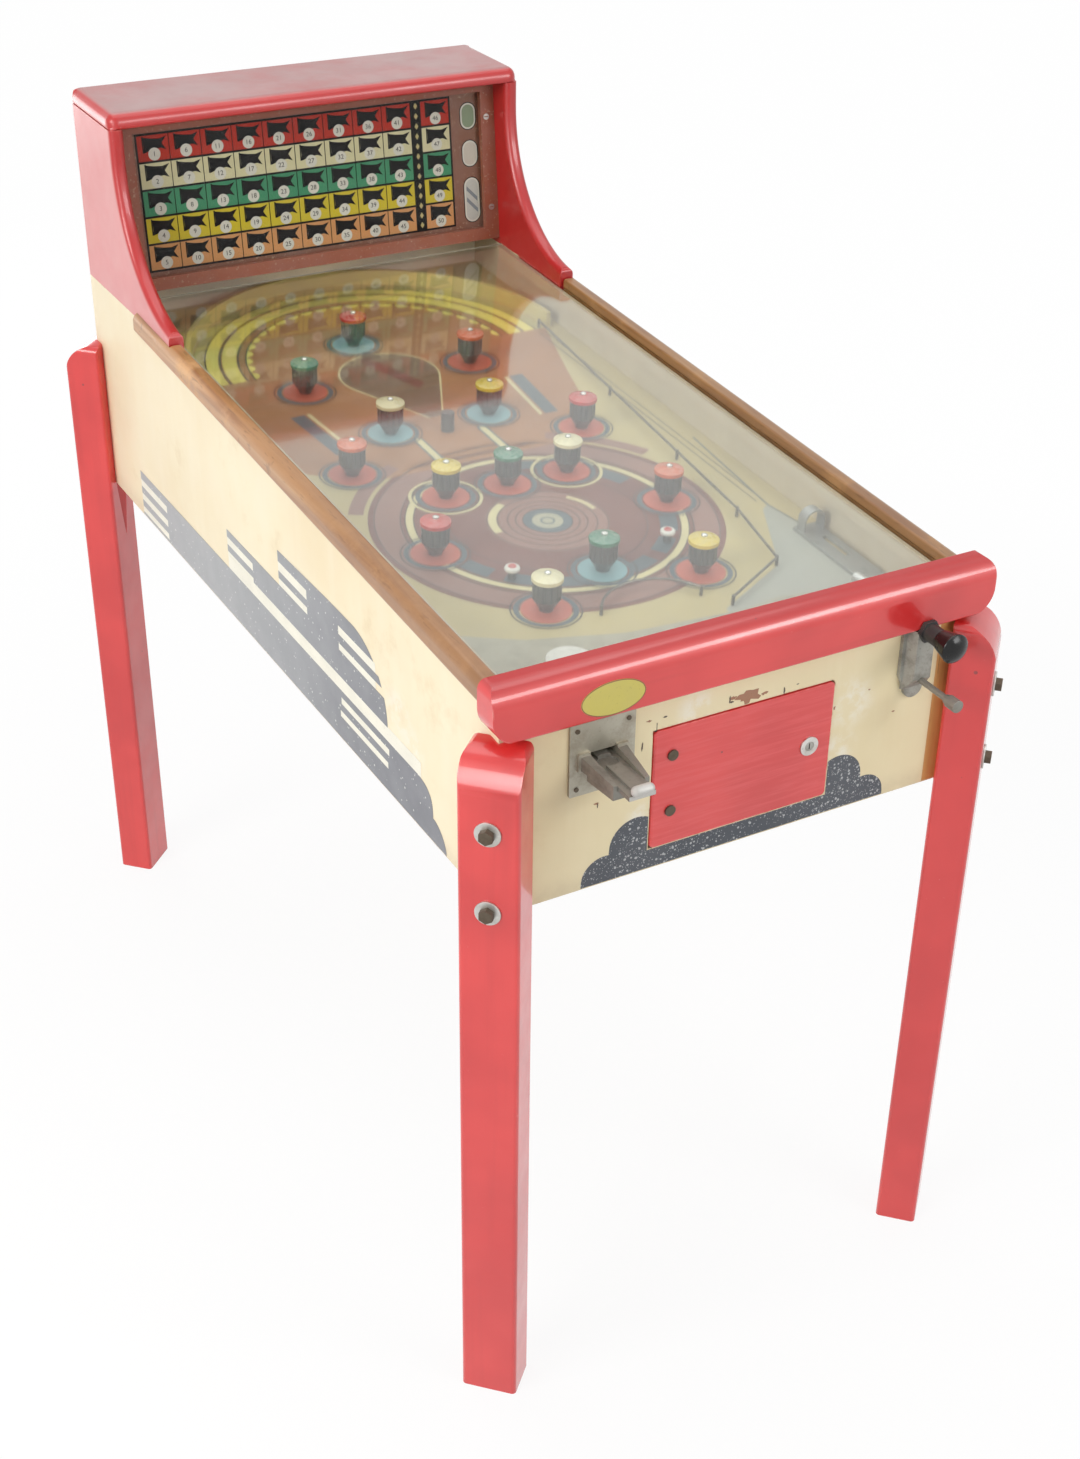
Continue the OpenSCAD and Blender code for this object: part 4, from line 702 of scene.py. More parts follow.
plate_glass = clear_glass("plate_glass", (0.96, 0.98, 0.97), 1.6, 0.055)
thin_glass = clear_glass("thin_glass", (0.98, 0.99, 0.98), 1.12)
lamp_glass = clear_glass("lamp_glass", (0.98, 0.95, 0.88), 1.4)
ground_edge = ink("ground_edge", (0.34, 0.31, 0.24), 0.5)
print("glass made")


# %% [markdown]
# Most solids keep their shape and only take a finish. Wooden and metal pieces that show
# get their sharp edges rounded over: a copy of the solid is merged into one skin, its
# flat faces are joined, and a bevel runs along every edge sharper than the limit. The
# large faces then keep their true normals, so that they shade flat.

# %% Helpers for pieces
MERGE_REACH, FULL_WEIGHT = 0.00001, 100
FLAT_ANGLE, EDGE_ANGLE, SMOOTH_ANGLE = math.radians(0.6), math.radians(32), math.radians(40)


def only(obj):
    bpy.ops.object.select_all(action="DESELECT")
    obj.select_set(True)
    bpy.context.view_layer.objects.active = obj


def finish_with(obj, material):
    obj.data.materials.clear()
    obj.data.materials.append(material)


def put(node, material):
    finish_with(nodes[node], material)


def stand_for(piece, node):
    """The piece takes over a node's place and body, and the node is hidden."""
    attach(piece, nodes[node]["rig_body"])
    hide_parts(node)


def edit_all(obj):
    """Opens a mesh for editing, with everything selected."""
    only(obj)
    bpy.ops.object.mode_set(mode="EDIT")
    bpy.ops.mesh.select_all(action="SELECT")


def merged_copy(name, node):
    """A copy of a solid, merged into one skin and left open for editing."""
    piece = bpy.data.objects.new(name, nodes[node].data.copy())
    bpy.context.scene.collection.objects.link(piece)
    edit_all(piece)
    bpy.ops.mesh.remove_doubles(threshold=MERGE_REACH)
    return piece


def level_faces(piece, weight):
    """Smooths the rounded edges, and lets the large faces keep their own normals."""
    bpy.ops.object.shade_smooth_by_angle(angle=SMOOTH_ANGLE)
    levelling = piece.modifiers.new("level", "WEIGHTED_NORMAL")
    levelling.keep_sharp = True
    levelling.weight = weight
    bpy.ops.object.modifier_apply(modifier="level")


def eased(node, material, width, segments):
    piece = merged_copy(node + "_eased", node)
    bpy.ops.mesh.dissolve_limited(angle_limit=FLAT_ANGLE)
    bpy.ops.mesh.customdata_custom_splitnormals_clear()
    bpy.ops.object.mode_set(mode="OBJECT")
    bevel = piece.modifiers.new("ease", "BEVEL")
    bevel.width = width
    bevel.segments = segments
    bevel.limit_method = "ANGLE"
    bevel.angle_limit = EDGE_ANGLE
    bevel.use_clamp_overlap = True
    bpy.ops.object.modifier_apply(modifier="ease")
    level_faces(piece, FULL_WEIGHT)
    finish_with(piece, material)
    stand_for(piece, node)
    return piece


def second_finish(piece, material, chosen):
    """Gives another finish to the faces whose centre passes the test."""
    piece.data.materials.append(material)
    last = len(piece.data.materials) - 1
    count = 0
    for face in piece.data.polygons:
        if chosen(face.center):
            face.material_index = last
            count += 1
    print(piece.name, "second finish on", count, "faces")


print("edges sharper than", round(math.degrees(EDGE_ANGLE)), "degrees get rounded")


# %% [markdown]
# The cabinet: cream boards, a red front rail and red legs, varnished side rails and the
# red backbox. Each board keeps its solid's shape and gets rounded edges, wide where the
# painter's sandpaper went over them. The insides of the side boards take a darker, browner
# cream as painted shade, and the right one shows bare wood at its front end. The right
# rail's varnish is a darker copy of the left one's, as painted shade.

# %% Cabinet, backbox and legs
SKIN, INSIDE_Z = 0.0006, CABINET_Z + 0.02
for node in ("left_side_board", "right_side_board"):
    board = eased(node, cream_sides, 0.0012, 2)
    # The inner faces take the darker cream: painted shade inside the cabinet.
    second_finish(board, cream_inner_shaded,
                  lambda c: abs(c.x) < INNER_X + SKIN and c.z > INSIDE_Z)
second_finish(board, strip_wood, lambda c: c.y < FRONT_Y + SKIN)
eased("front_board", cream_front, 0.001, 2)
eased("rear_board", cream_sides, 0.001, 2)
# The cleats inside take the same darker cream, as painted shade.
put("glass_cleats", cream_inner_shaded)
eased("front_rail", red_rail, 0.0035, 4)
eased("left_rail", varnish, 0.0012, 2)
# Painted shade: the right rail takes the darker copy of the varnish.
eased("right_rail", varnish_right_shaded, 0.0012, 2)
for node in ("left_cheek", "right_cheek"):
    eased(node, red_cheeks, 0.0018, 3)
eased("back_door", red_upright, 0.0015, 2)
for node in ("leg_front_left", "leg_front_right", "leg_rear_left", "leg_rear_right"):
    eased(node, red_legs, 0.0035, 4)
for node in ("bottom_board", "corner_blocks", "playfield_cleats", "lamp_board"):
    put(node, bare_wood)
pane = eased("playfield_glass", plate_glass, 0.0003, 1)
pane_low, pane_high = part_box("playfield_glass")
second_finish(pane, ground_edge, lambda c: c.y > pane_high.y - SKIN or c.y < pane_low.y + SKIN)

# %% [markdown]
# The backbox's top board has been rounded over generously by the painter's sandpaper, at
# its front and at both ends. Rounding the solid in place, as on the other boards, would
# give every edge the same width. So it starts as a block of the solid's own size, and
# each edge carries a bevel weight: full on the upper front and end edges, small elsewhere.

# %% Top board
WIDE_ROUND, NARROW_ROUND, ROUND_STEPS, TOP_WEIGHT = 0.0135, 0.003, 6, 50
top_low, top_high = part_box("backbox_top")
middle_z = (top_low.z + top_high.z) / 2
bpy.ops.object.select_all(action="DESELECT")
bpy.ops.mesh.primitive_cube_add(size=1)
top_board = bpy.context.object
top_board.name = "backbox_top_eased"
top_board.data.transform(Matrix.Translation((top_low + top_high) / 2)
                         @ Matrix.Diagonal((*(top_high - top_low), 1)))
edge_marks = top_board.data.attributes.new("bevel_weight_edge", "FLOAT", "EDGE")
for edge in top_board.data.edges:
    a, b = (top_board.data.vertices[v].co for v in edge.vertices)
    upper = min(a.z, b.z) > middle_z
    behind = min(a.y, b.y) > top_high.y - SKIN
    upright_front = abs(a.z - b.z) > SKIN and max(a.y, b.y) < top_low.y + SKIN
    wide = (upper and not behind) or upright_front
    edge_marks.data[edge.index].value = 1.0 if wide else NARROW_ROUND / WIDE_ROUND
only(top_board)
round_over = top_board.modifiers.new("round_over", "BEVEL")
round_over.width = WIDE_ROUND
round_over.segments = ROUND_STEPS
round_over.limit_method = "WEIGHT"
bpy.ops.object.modifier_apply(modifier="round_over")
level_faces(top_board, TOP_WEIGHT)
finish_with(top_board, red_top)
stand_for(top_board, "backbox_top")
print("top board", [round(v, 4) for v in top_high - top_low])

# %% [markdown]
# Hardware: everything that is bare, plated or cast, the coin side first. Where one solid
# carries two metals, such as the coin door with its dark bolt heads, the second finish
# goes on the faces that lie beyond a plane, so the solid need not be cut up.

# %% Leg bolts and coin side
eased("leg_bolts", bolt_steel, 0.0008, 2)
eased("leg_washers_and_nuts", steel, 0.0006, 2)
plate = eased("coin_plate", plate_metal, 0.0006, 2)
plate_low, plate_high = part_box("coin_plate")
PLATE_T, COLLAR_T, RIVET_BAND = 0.0031, 0.0067, 0.0115
second_finish(plate, slide_metal, lambda c: c.y < FRONT_Y - COLLAR_T)
second_finish(plate, bolt_steel, lambda c: c.y < FRONT_Y - PLATE_T
              and not plate_low.z + RIVET_BAND < c.z < plate_high.z - RIVET_BAND)
slide = eased("coin_slide", slide_metal, 0.0007, 2)
slide_low, slide_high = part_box("coin_slide")
TIP_DEPTH, TIP_H = 0.0112, 0.0115
second_finish(slide, tip_nickel,
              lambda c: c.y < slide_low.y + TIP_DEPTH and c.z > slide_high.z - TIP_H)
door = eased("coin_door", red_door, 0.0012, 3)
DOOR_FACE = 0.0019
second_finish(door, bolt_steel, lambda c: c.y < FRONT_Y - DOOR_FACE)

# %% [markdown]
# The shooter is a grey casting with a black iron barrel, and a turned plastic knob on
# its rod. Locks, pins and wires are small turned or drawn pieces, so they only take a
# finish, or a very narrow rounding where they catch the light.

# %% Shooter, locks and wires
housing = eased("shooter_housing", cast_grey, 0.0014, 3)
RIB_FACE = 0.0173
second_finish(housing, black_iron, lambda c: c.y < FRONT_Y - RIB_FACE)
eased("lifter_rod", slide_metal, 0.0007, 2)
eased("plunger_knob", black_plastic, 0.0022, 4)
eased("ball_lift", lift_metal, 0.0004, 2)
for node in ("coin_lock_barrel", "back_lock_barrel"):
    eased(node, nickel, 0.0004, 2)
for node in ("coin_lock_plug", "back_lock_plug"):
    eased(node, plug_metal, 0.0003, 2)
for node in ("plunger_rod", "cash_box", "bumper_pins"):
    put(node, steel)
put("door_pins", dark_steel)
put("guide_wires", wire_steel)
put("tilt_bracket", brass)
put("tilt_bob", brass)

# %% [markdown]
# The plunger's spring sits between the front board and a collar on the rod. When the
# knob is pulled the collar comes forward, and the coil shortens towards the board. A
# smooth copy of the solid takes its place.

# %% Plunger spring
SPRING_SHORT, COIL_ANGLE = 0.35, math.radians(70)
spring = merged_copy("plunger_spring_coil", "plunger_spring")
bpy.ops.object.mode_set(mode="OBJECT")
bpy.ops.object.shade_smooth_by_angle(angle=COIL_ANGLE)
finish_with(spring, steel)
stand_for(spring, "plunger_spring")
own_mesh(spring)
print("spring", len(spring.data.polygons), "faces")

# %% [markdown]
# The works inside show when a door stands open: the lamps in their brass sockets, the
# supply transformer's core and coil, and the relays on their wooden base. Each is one
# solid, parted by planes into two finishes, as the hardware is.

# %% Inside works
lamps = eased("lamps", lamp_glass, 0.0002, 1)
SOCKET_LIFT = -0.0129
second_finish(lamps, brass, lambda c: (SCORE.inverted() @ c).z < SOCKET_LIFT)
transformer = eased("transformer", dark_steel, 0.0005, 1)
coil_low, coil_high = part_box("transformer")
COIL_IN, FOOT_H = 0.0125, 0.01
second_finish(transformer, copper, lambda c: c.z > coil_low.z + FOOT_H
              and not coil_low.y + COIL_IN < c.y < coil_high.y - COIL_IN)
relays = eased("relay_bank", brass, 0.0005, 1)
relay_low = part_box("relay_bank")[0].z
RELAY_BASE = 0.0102
second_finish(relays, bare_wood, lambda c: c.z < relay_low + RELAY_BASE)

# %% [markdown]
# Bumpers and posts: dark fluted bodies under coloured caps, each with a bright pin, on
# painted base discs. The two lane pegs are dark posts with a white rubber ring and a red
# top, the centre post is dark, and the apron is grey sheet with a white disc. The flutes
# are in the solids already, so only finishes and a narrow rounding are added.

# %% Bumpers, posts and apron
def above_field(point):
    return (FIELD.inverted() @ point).z


eased("bumper_bodies", bumper_dark, 0.0004, 1)
for colour, material in caps.items():
    eased("bumper_caps_" + colour, material, 0.0012, 3)
posts = eased("field_posts", white_rubber, 0.0004, 2)
RING_LOW, RING_HIGH, POST_Y, SHEET_T = 0.0093, 0.0154, FRONT_Y + 0.5, 0.0018
second_finish(posts, bumper_dark, lambda c: c.y > POST_Y or above_field(c) < RING_LOW)
second_finish(posts, caps["red"], lambda c: c.y < POST_Y and above_field(c) > RING_HIGH)
apron = eased("apron", grey_sheet, 0.0003, 1)
second_finish(apron, white_rubber, lambda c: above_field(c) > SHEET_T)
put("bumper_bases_red", ink("disc_red", (0.60, 0.135, 0.08)))
put("bumper_bases_blue", ink("disc_blue", (0.26, 0.45, 0.47)))
put("playfield_board", ink("field_khaki", (0.56, 0.46, 0.22)))
# Painted light: the board behind the field is much paler than its own taupe, against the backbox's
# shade.
put("field_back_board", ink("field_back", (0.86, 0.78, 0.64)))
put("top_arch", ink("arch_yellow", (0.60, 0.50, 0.18)))
put("score_frame", ink("frame_brown", (0.28, 0.085, 0.045), 0.35, fleck=0.45, shine=0.3))
put("score_glass", thin_glass)


# %% [markdown]
# Printing could be a picture on the board, but a picture blurs from close by and belongs
# to one size. Here each colour is a film of its own, as from a printing screen: a flat
# outline, filled and made a sheet a tenth of a millimetre thick. Loops inside a loop are
# holes. The sheet is then laid in its plane.

# %% Helper for films
FILM_T = 0.0001


def circle(x, y, r, steps=64, start=0.0, sweep=2 * math.pi):
    closed = abs(sweep) >= 2 * math.pi - 1e-6
    turns = [start + sweep * k / steps for k in range(steps if closed else steps + 1)]
    return [(x + r * math.cos(a), y + r * math.sin(a)) for a in turns]


def rectangle(x0, y0, x1, y1):
    return [(x0, y0), (x1, y0), (x1, y1), (x0, y1)]


def capsule(x0, y0, x1, y1, steps=10):
    """Bar with round ends along its longer side."""
    r = min(x1 - x0, y1 - y0) / 2
    lean = 0 if x1 - x0 > y1 - y0 else math.pi / 2
    return (circle(x1 - r, y1 - r, r, steps, lean - math.pi / 2, math.pi)
            + circle(x0 + r, y0 + r, r, steps, lean + math.pi / 2, math.pi))


def arc_band(x, y, r0, r1, start, sweep, steps=64):
    outer = circle(x, y, r1, steps, start, sweep)
    inner = circle(x, y, r0, steps, start, sweep)
    return outer + inner[::-1]


def film(name, loops, plane, lift, material, thick=FILM_T):
    curve = bpy.data.curves.new(name, "CURVE")
    curve.dimensions = "2D"
    curve.fill_mode = "BOTH"
    curve.extrude = thick / 2
    for loop in loops:
        spline = curve.splines.new("POLY")
        spline.points.add(len(loop) - 1)
        for point, (x, y) in zip(spline.points, loop):
            point.co = (x, y, 0, 1)
        spline.use_cyclic_u = True
    piece = bpy.data.objects.new(name, curve)
    bpy.context.scene.collection.objects.link(piece)
    only(piece)
    bpy.ops.object.convert(target="MESH")
    piece = bpy.context.object
    piece.data.transform(plane @ Matrix.Translation((0, 0, lift)))
    finish_with(piece, material)
    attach(piece, "cabinet")
    return piece


def field_film(name, loops, lift, material):
    return film(name, loops, FIELD, lift, material)


print("film thickness", FILM_T)


# %% [markdown]
# The playfield's printing. Bands of tan, yellow, brown and cream follow the arch and
# ring the lower bumpers, in a plain layout of arcs, wedges and bars. Films that overlap
# lie a tenth of a millimetre above each other, in the order of a printer's passes.

# %% Playfield inks and the upper field
tan = ink("field_tan", (0.41, 0.19, 0.078))
amber = ink("field_amber", (0.86, 0.75, 0.17))
olive = ink("field_olive", (0.46, 0.40, 0.15))
umber = ink("field_umber", (0.20, 0.072, 0.050))
mauve = ink("field_mauve", (0.32, 0.165, 0.125))
ivory = ink("field_ivory", (0.72, 0.63, 0.34))
slate = ink("field_slate", (0.10, 0.13, 0.14))
lane_grey = ink("field_lane_grey", (0.42, 0.42, 0.35))
line_dark = ink("field_line", (0.065, 0.05, 0.04))

ARCH_Y, ARCH_R, HALF_LINE = 0.8515, 0.238, 0.001
GROUND, BAND, LINE, MARK, RING = 0.0001, 0.0002, 0.0003, 0.0004, 0.0005
SCALLOPS, SCALLOP_R, SCALLOP_AT = 24, 0.009, 0.172


def arch_band(r0, r1):
    return arc_band(0, ARCH_Y, r0, r1, 0, math.pi)


upper_ground = circle(0, ARCH_Y, ARCH_R, 48, 0, math.pi) + [
    (-ARCH_R, 0.70), (-0.225, 0.60), (-0.16, 0.545), (0.12, 0.545), (0.165, 0.60), (0.198, 0.72)]
field_film("field_upper", [upper_ground], GROUND, tan)
field_film("field_rim", [arch_band(0.224, 0.237)], BAND, olive)
field_film("field_arcs", [arch_band(0.207, 0.222), arch_band(0.184, 0.202)], BAND, amber)
field_film("field_arc_lines", [arch_band(r - HALF_LINE, r + HALF_LINE)
                               for r in (0.2045, 0.223, 0.182, 0.172)], LINE, line_dark)
scallops = []
for k in range(SCALLOPS):
    middle = math.pi * (k + 0.5) / SCALLOPS
    x, y = SCALLOP_AT * math.cos(middle), ARCH_Y + SCALLOP_AT * math.sin(middle)
    scallops.append(circle(x, y, SCALLOP_R, 16, middle + math.pi / 2, math.pi))
field_film("field_scallops", scallops, BAND, amber)
print("scallops", SCALLOPS)

# %% [markdown]
# A pear-shaped panel hangs under the arch, and bars and lanes lead from it to the ring.
# The pear is an arc closed by a narrow foot. It is drawn twice, so that the larger one
# shows as a pale edge round the other.

# %% Pear panel and lanes
RING_X, RING_Y = FIELD_CENTRE_X, 0.380
PEAR_X, PEAR_Y, PEAR_R = RING_X + 0.004, 0.800, 0.062
PEAR_FOOT, PEAR_FOOT_W, PEAR_EDGE = 0.668, 0.008, 0.0024


def pear(grow):
    top = circle(PEAR_X, PEAR_Y, PEAR_R + grow, 40, math.radians(-24), math.radians(228))
    return top + [(PEAR_X - PEAR_FOOT_W - grow, PEAR_FOOT),
                  (PEAR_X + PEAR_FOOT_W + grow, PEAR_FOOT)]


field_film("pear_edge", [pear(PEAR_EDGE)], BAND, ivory)
field_film("pear", [pear(0)], LINE, ink("field_pear", (0.21, 0.135, 0.08)))
PEAR_BAND = ((-0.020, 0.050), (-0.004, 0.056), (0.030, -0.040), (0.016, -0.052))
field_film("pear_band", [[(PEAR_X + x, PEAR_Y + y) for x, y in PEAR_BAND]], MARK, umber)
LANE_BARS = ((-0.0655, 0.560, -0.0575, 0.622), (0.0195, 0.560, 0.0275, 0.622))
BAR_EDGE = 0.0026
field_film("lane_bars", [capsule(*bar) for bar in LANE_BARS], MARK, ivory)
field_film("lane_bar_edges", [
    capsule(a - BAR_EDGE, b - BAR_EDGE, c + BAR_EDGE, d + BAR_EDGE) for a, b, c, d in LANE_BARS],
    LINE, slate)
LANE_FROM, LANE_TO, LANE_LEAN = 0.622, 0.735, 0.010
for side, name in ((-1, "left"), (1, "right")):
    for part, ink_used, lift, inner, outer in (("pale", ivory, BAND, 0.122, 0.127),
                                               ("slate", slate, LINE, 0.130, 0.148)):
        lane = [(inner, LANE_FROM), (outer, LANE_FROM),
                (outer + LANE_LEAN, LANE_TO), (inner + LANE_LEAN, LANE_TO)]
        outline = [(RING_X + side * x, y) for x, y in lane]
        field_film("lane_%s_%s" % (part, name), [outline], lift, ink_used)
print("lane bars", len(LANE_BARS))

# %% [markdown]
# The ring fills the player's half of the field: bands and thin lines round a dark eye,
# with wedges between the lines. All of it shares one middle, so two small helpers draw
# circles and parts of bands round that point.

# %% Ring
def ring_circle(r, steps=96):
    return circle(RING_X, RING_Y, r, steps)


def ring_arc(r0, r1, start, sweep, steps):
    """Part of a band round the ring's middle, its ends given in degrees."""
    return arc_band(RING_X, RING_Y, r0, r1, math.radians(start), math.radians(sweep), steps)


for name, r0, r1, ink_used, lift in (
        ("outer", 0.164, 0.194, mauve, GROUND), ("rim", 0.194, 0.2, umber, GROUND),
        ("pale", 0.150, 0.158, ivory, BAND), ("middle", 0.070, 0.164, umber, GROUND),
        ("inner", 0.028, 0.070, mauve, GROUND)):
    field_film("ring_" + name, [ring_circle(r1), ring_circle(r0)], lift, ink_used)
INNER_ARCS = ((0.0575, 0.0665, 118, 64), (0.0590, 0.0645, 3, 38))
field_film("ring_inner_pale", [ring_arc(*arc, 24) for arc in INNER_ARCS], BAND, ivory)
field_film("ring_eye", [ring_circle(0.028, 64)], GROUND, slate)
LINES_AT = (0.193, 0.164, 0.159, 0.149, 0.112, 0.0685, 0.0560, 0.045, 0.036, 0.028)
HALF_RING_LINE = 0.0006
field_film("ring_lines", [ring_circle(r + d) for r in LINES_AT
                          for d in (HALF_RING_LINE, -HALF_RING_LINE)], LINE, line_dark)
field_film("eye_rings", [ring_circle(r, 48) for r in (0.0175, 0.0085, 0.0060)], BAND,
           ink("field_eye", (0.46, 0.43, 0.30)))
WEDGE_FROM, WEDGE_SWEEP = (200, 222, 244, 282, 304, 326, 20, 42, 64), 15
wedges = [ring_arc(0.126, 0.146, start, WEDGE_SWEEP, 8) for start in WEDGE_FROM]
field_film("ring_wedges", wedges, MARK, slate)
collar = [ring_arc(0.205, 0.222, start, 34, 24) for start in (28, 118)]
field_film("ring_collar", collar, BAND, mauve)
print("ring printed,", len(wedges), "wedges")

# %% [markdown]
# Thin border lines run along both edges of the field. The ball's way back to the plunger
# is painted grey, with a dark line along it.

# %% Border and return lane
BORDER_W, LANE_LINE_W = 0.0012, 0.0022
field_film("field_border", [rectangle(x, 0.32, x + BORDER_W, 0.84) for x in (0.222, 0.231)]
           + [rectangle(x, 0.24, x + BORDER_W, 0.70) for x in (-0.236, -0.229)], LINE, line_dark)
RETURN_LANE = ((0.219, 0.302), (0.164, 0.188), (0.059, 0.132), (0.059, 0.100), (0.228, 0.100),
               (0.228, 0.139), (0.232, 0.187), (0.240, 0.239), (0.229, 0.308))
field_film("return_lane", [RETURN_LANE], GROUND, lane_grey)
LANE_LINE = ((0.2427, 0.491), (0.2289, 0.308), (0.2406, 0.239))
field_film("lane_line", [[*LANE_LINE, *((x + LANE_LINE_W, y) for x, y in LANE_LINE[::-1])]],
           LINE, slate)
print("return lane", len(RETURN_LANE), "corners")

# %% [markdown]
# Each bumper stands in a painted ring: a dark band, and a thin line round it. The pair
# beside the middle bumper also have a pale line outside. A ring is a circle with a
# smaller one as its hole, and all rings of one colour are one film.

# %% Rings round the bumpers
BUMPER_ROWS = ((0, 0.900), (0.1135, 0.793), (0.066, 0.649), (0.1515, 0.570), (0.0785, 0.477),
               (0, 0.476), (0.147, 0.365), (0, 0.258), (0.0955, 0.210))
PALE_RINGS = (7, 8)
centres = [(FIELD_CENTRE_X + side * x, y)
           for x, y in BUMPER_ROWS for side in ((1,) if x == 0 else (-1, 1))]


def bumper_rings(name, places, r1, r0, material):
    field_film(name, [circle(x, y, r, 48) for x, y in places for r in (r1, r0)], RING, material)


bumper_rings("bumper_rings_line", centres, 0.0385, 0.0370, line_dark)
bumper_rings("bumper_rings_band", centres, 0.0345, 0.0290, slate)
bumper_rings("bumper_rings_pale", [centres[k] for k in PALE_RINGS], 0.0425, 0.0388, ivory)
print("bumper rings", len(centres))


# %% [markdown]
# The stencil on the cabinet's sides: two streamlined bands with round noses, combed
# tails and speed lines, in spattered blue-grey, with the gaps between them picked out in
# white. It is drawn once, flat, and laid on both sides; the left one is a mirror image,
# so its faces are turned back outwards.

# %% Helpers for stencils
def quarter(y, z, reach, rise, fullness=1.0, steps=24):
    """Round nose, from its top at (y, z + rise) forward and down to (y - reach, z)."""
    turns = [math.pi / 2 * k / steps for k in range(steps + 1)]
    return [(y - reach * math.sin(a) ** fullness, z + rise * max(math.cos(a), 0) ** fullness)
            for a in turns]


def comb(bars, y_tip, y_root):
    """Bars that end at a tail, from the lowest up, each given by its lower and upper height."""
    points = []
    for low, high in bars:
        points += [(y_root, low), (y_tip, low), (y_tip, high), (y_root, high)]
    return points


def slotted(nose, slots, inner_y):
    """Cuts open slots into a nose, given from its top down."""
    points = []
    for y, z in nose:
        slot = next(((low, high) for low, high in slots if low < z < high), None)
        if slot is None:
            points.append((y, z))
        elif not points or points[-1][0] != inner_y:
            points += [(points[-1][0], slot[1]), (inner_y, slot[1]), (inner_y, slot[0])]
    return points


def side_plane(side):
    turn_out = Matrix.Rotation(math.pi / 2, 4, "Z") @ Matrix.Rotation(math.pi / 2, 4, "X")
    if side < 0:
        turn_out = Matrix.Scale(-1, 4, (1, 0, 0)) @ turn_out
    return Matrix.Translation((side * SIDE_X, FRONT_Y, 0)) @ turn_out


print("stencil helpers ready")

# %% [markdown]
# The outlines are measured along the cabinet from its front, and up from the floor. The
# white goes on first, as plain bars, and the spattered bands over it leave only the gaps
# white.

# %% Side stencils
FIRST_COAT, SECOND_COAT = 0.0001, 0.0002
STENCIL_FOOT, NOSE_Z = CABINET_Z + 0.0012, 0.670
LOWER_BARS = ((STENCIL_FOOT, 0.6450), (0.6535, 0.6630), (0.6725, 0.6825), (0.6925, 0.7045))
lower_band = (comb(LOWER_BARS, 1.011, 0.915) + quarter(0.185, NOSE_Z, 0.042, 0.0345, 0.72)
              + quarter(0.143, STENCIL_FOOT, 0.030, NOSE_Z - STENCIL_FOOT, 1.15)[1:])
NOSE_SLOTS = ((0.7550, 0.7635), (0.7745, 0.7850))
upper_band = ([(0.6165, 0.7215)] + comb(((0.7275, 0.7365), (0.7465, 0.7565)), 0.697, 0.6165)[:-1]
              + [(0.455, 0.7565)] + comb(((0.7655, 0.7750), (0.7870, 0.8010)), 0.5355, 0.455)[:-1]
              + [(0.40, 0.8040)]
              + slotted(quarter(0.335, 0.7215, 0.086, 0.0825, 1.0, 90), NOSE_SLOTS, 0.370))
SPEED_LINES = [rectangle(0.2467, 0.6870, 0.3690, 0.6955),
               rectangle(0.2500, 0.6695, 0.3725, 0.6775)]
WHITE_GAPS = [rectangle(0.1700, 0.7035, 0.6970, 0.7225), rectangle(0.6155, 0.7228, 0.6970, 0.7520),
              rectangle(0.4540, 0.7560, 0.5355, 0.7900), rectangle(0.2760, 0.7542, 0.3710, 0.7855),
              rectangle(0.2450, 0.6690, 0.3740, 0.6960), rectangle(0.9140, 0.6440, 1.0110, 0.6930)]
for side, name in ((-1, "left"), (1, "right")):
    for part, loops, lift, paint in (
            ("stencil_white_", WHITE_GAPS, FIRST_COAT, stencil_white),
            ("stencil_", [lower_band, upper_band] + SPEED_LINES, SECOND_COAT, side_stencil_lit)):
        piece = film(part + name, loops, side_plane(side), lift, paint)
        if side < 0:
            edit_all(piece)
            bpy.ops.mesh.flip_normals()
            bpy.ops.object.mode_set(mode="OBJECT")
print("side stencils made")

# %% [markdown]
# On the front a scalloped bank spreads under and beside the coin door. Its outline is
# the upper envelope of two circles on each side, left open round the door.

# %% Front stencil
DOOR_GAP = 0.0022
DOOR_EDGE_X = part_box("coin_door")[1].x + DOOR_GAP
DOOR_FOOT_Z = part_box("coin_door")[0].z - DOOR_GAP
BANK = ((0.160, 0.6458, 0.0267), (0.1240, 0.6770, 0.0308))


def bank_edge(side, steps=90):
    """Points of the bank's top from its outer end to the door's edge."""
    reach = BANK[0][0] + BANK[0][2]
    points = []
    for k in range(steps + 1):
        x = reach + (DOOR_EDGE_X - reach) * k / steps
        tops = [cz + math.sqrt(r * r - (x - cx) ** 2) for cx, cz, r in BANK if abs(x - cx) <= r]
        points.append((side * x, max(tops + [STENCIL_FOOT])))
    return points


left_bank, right_bank = bank_edge(-1), bank_edge(1)
bank = ([(left_bank[0][0], STENCIL_FOOT)] + left_bank
        + [(-DOOR_EDGE_X, DOOR_FOOT_Z), (DOOR_EDGE_X, DOOR_FOOT_Z)]
        + right_bank[::-1] + [(right_bank[0][0], STENCIL_FOOT)])
film("stencil_front", [bank], FRONT, FIRST_COAT, front_stencil)
print("front stencil", len(bank), "points")

# %% [markdown]
# Marks of use on the front board: chips where the paint has gone down to the wood above
# the door, a few dark scratches, and a strip of bare varnished wood beside the right
# leg. A chip's outline is a circle with a seeded wobble, squashed or drawn out.

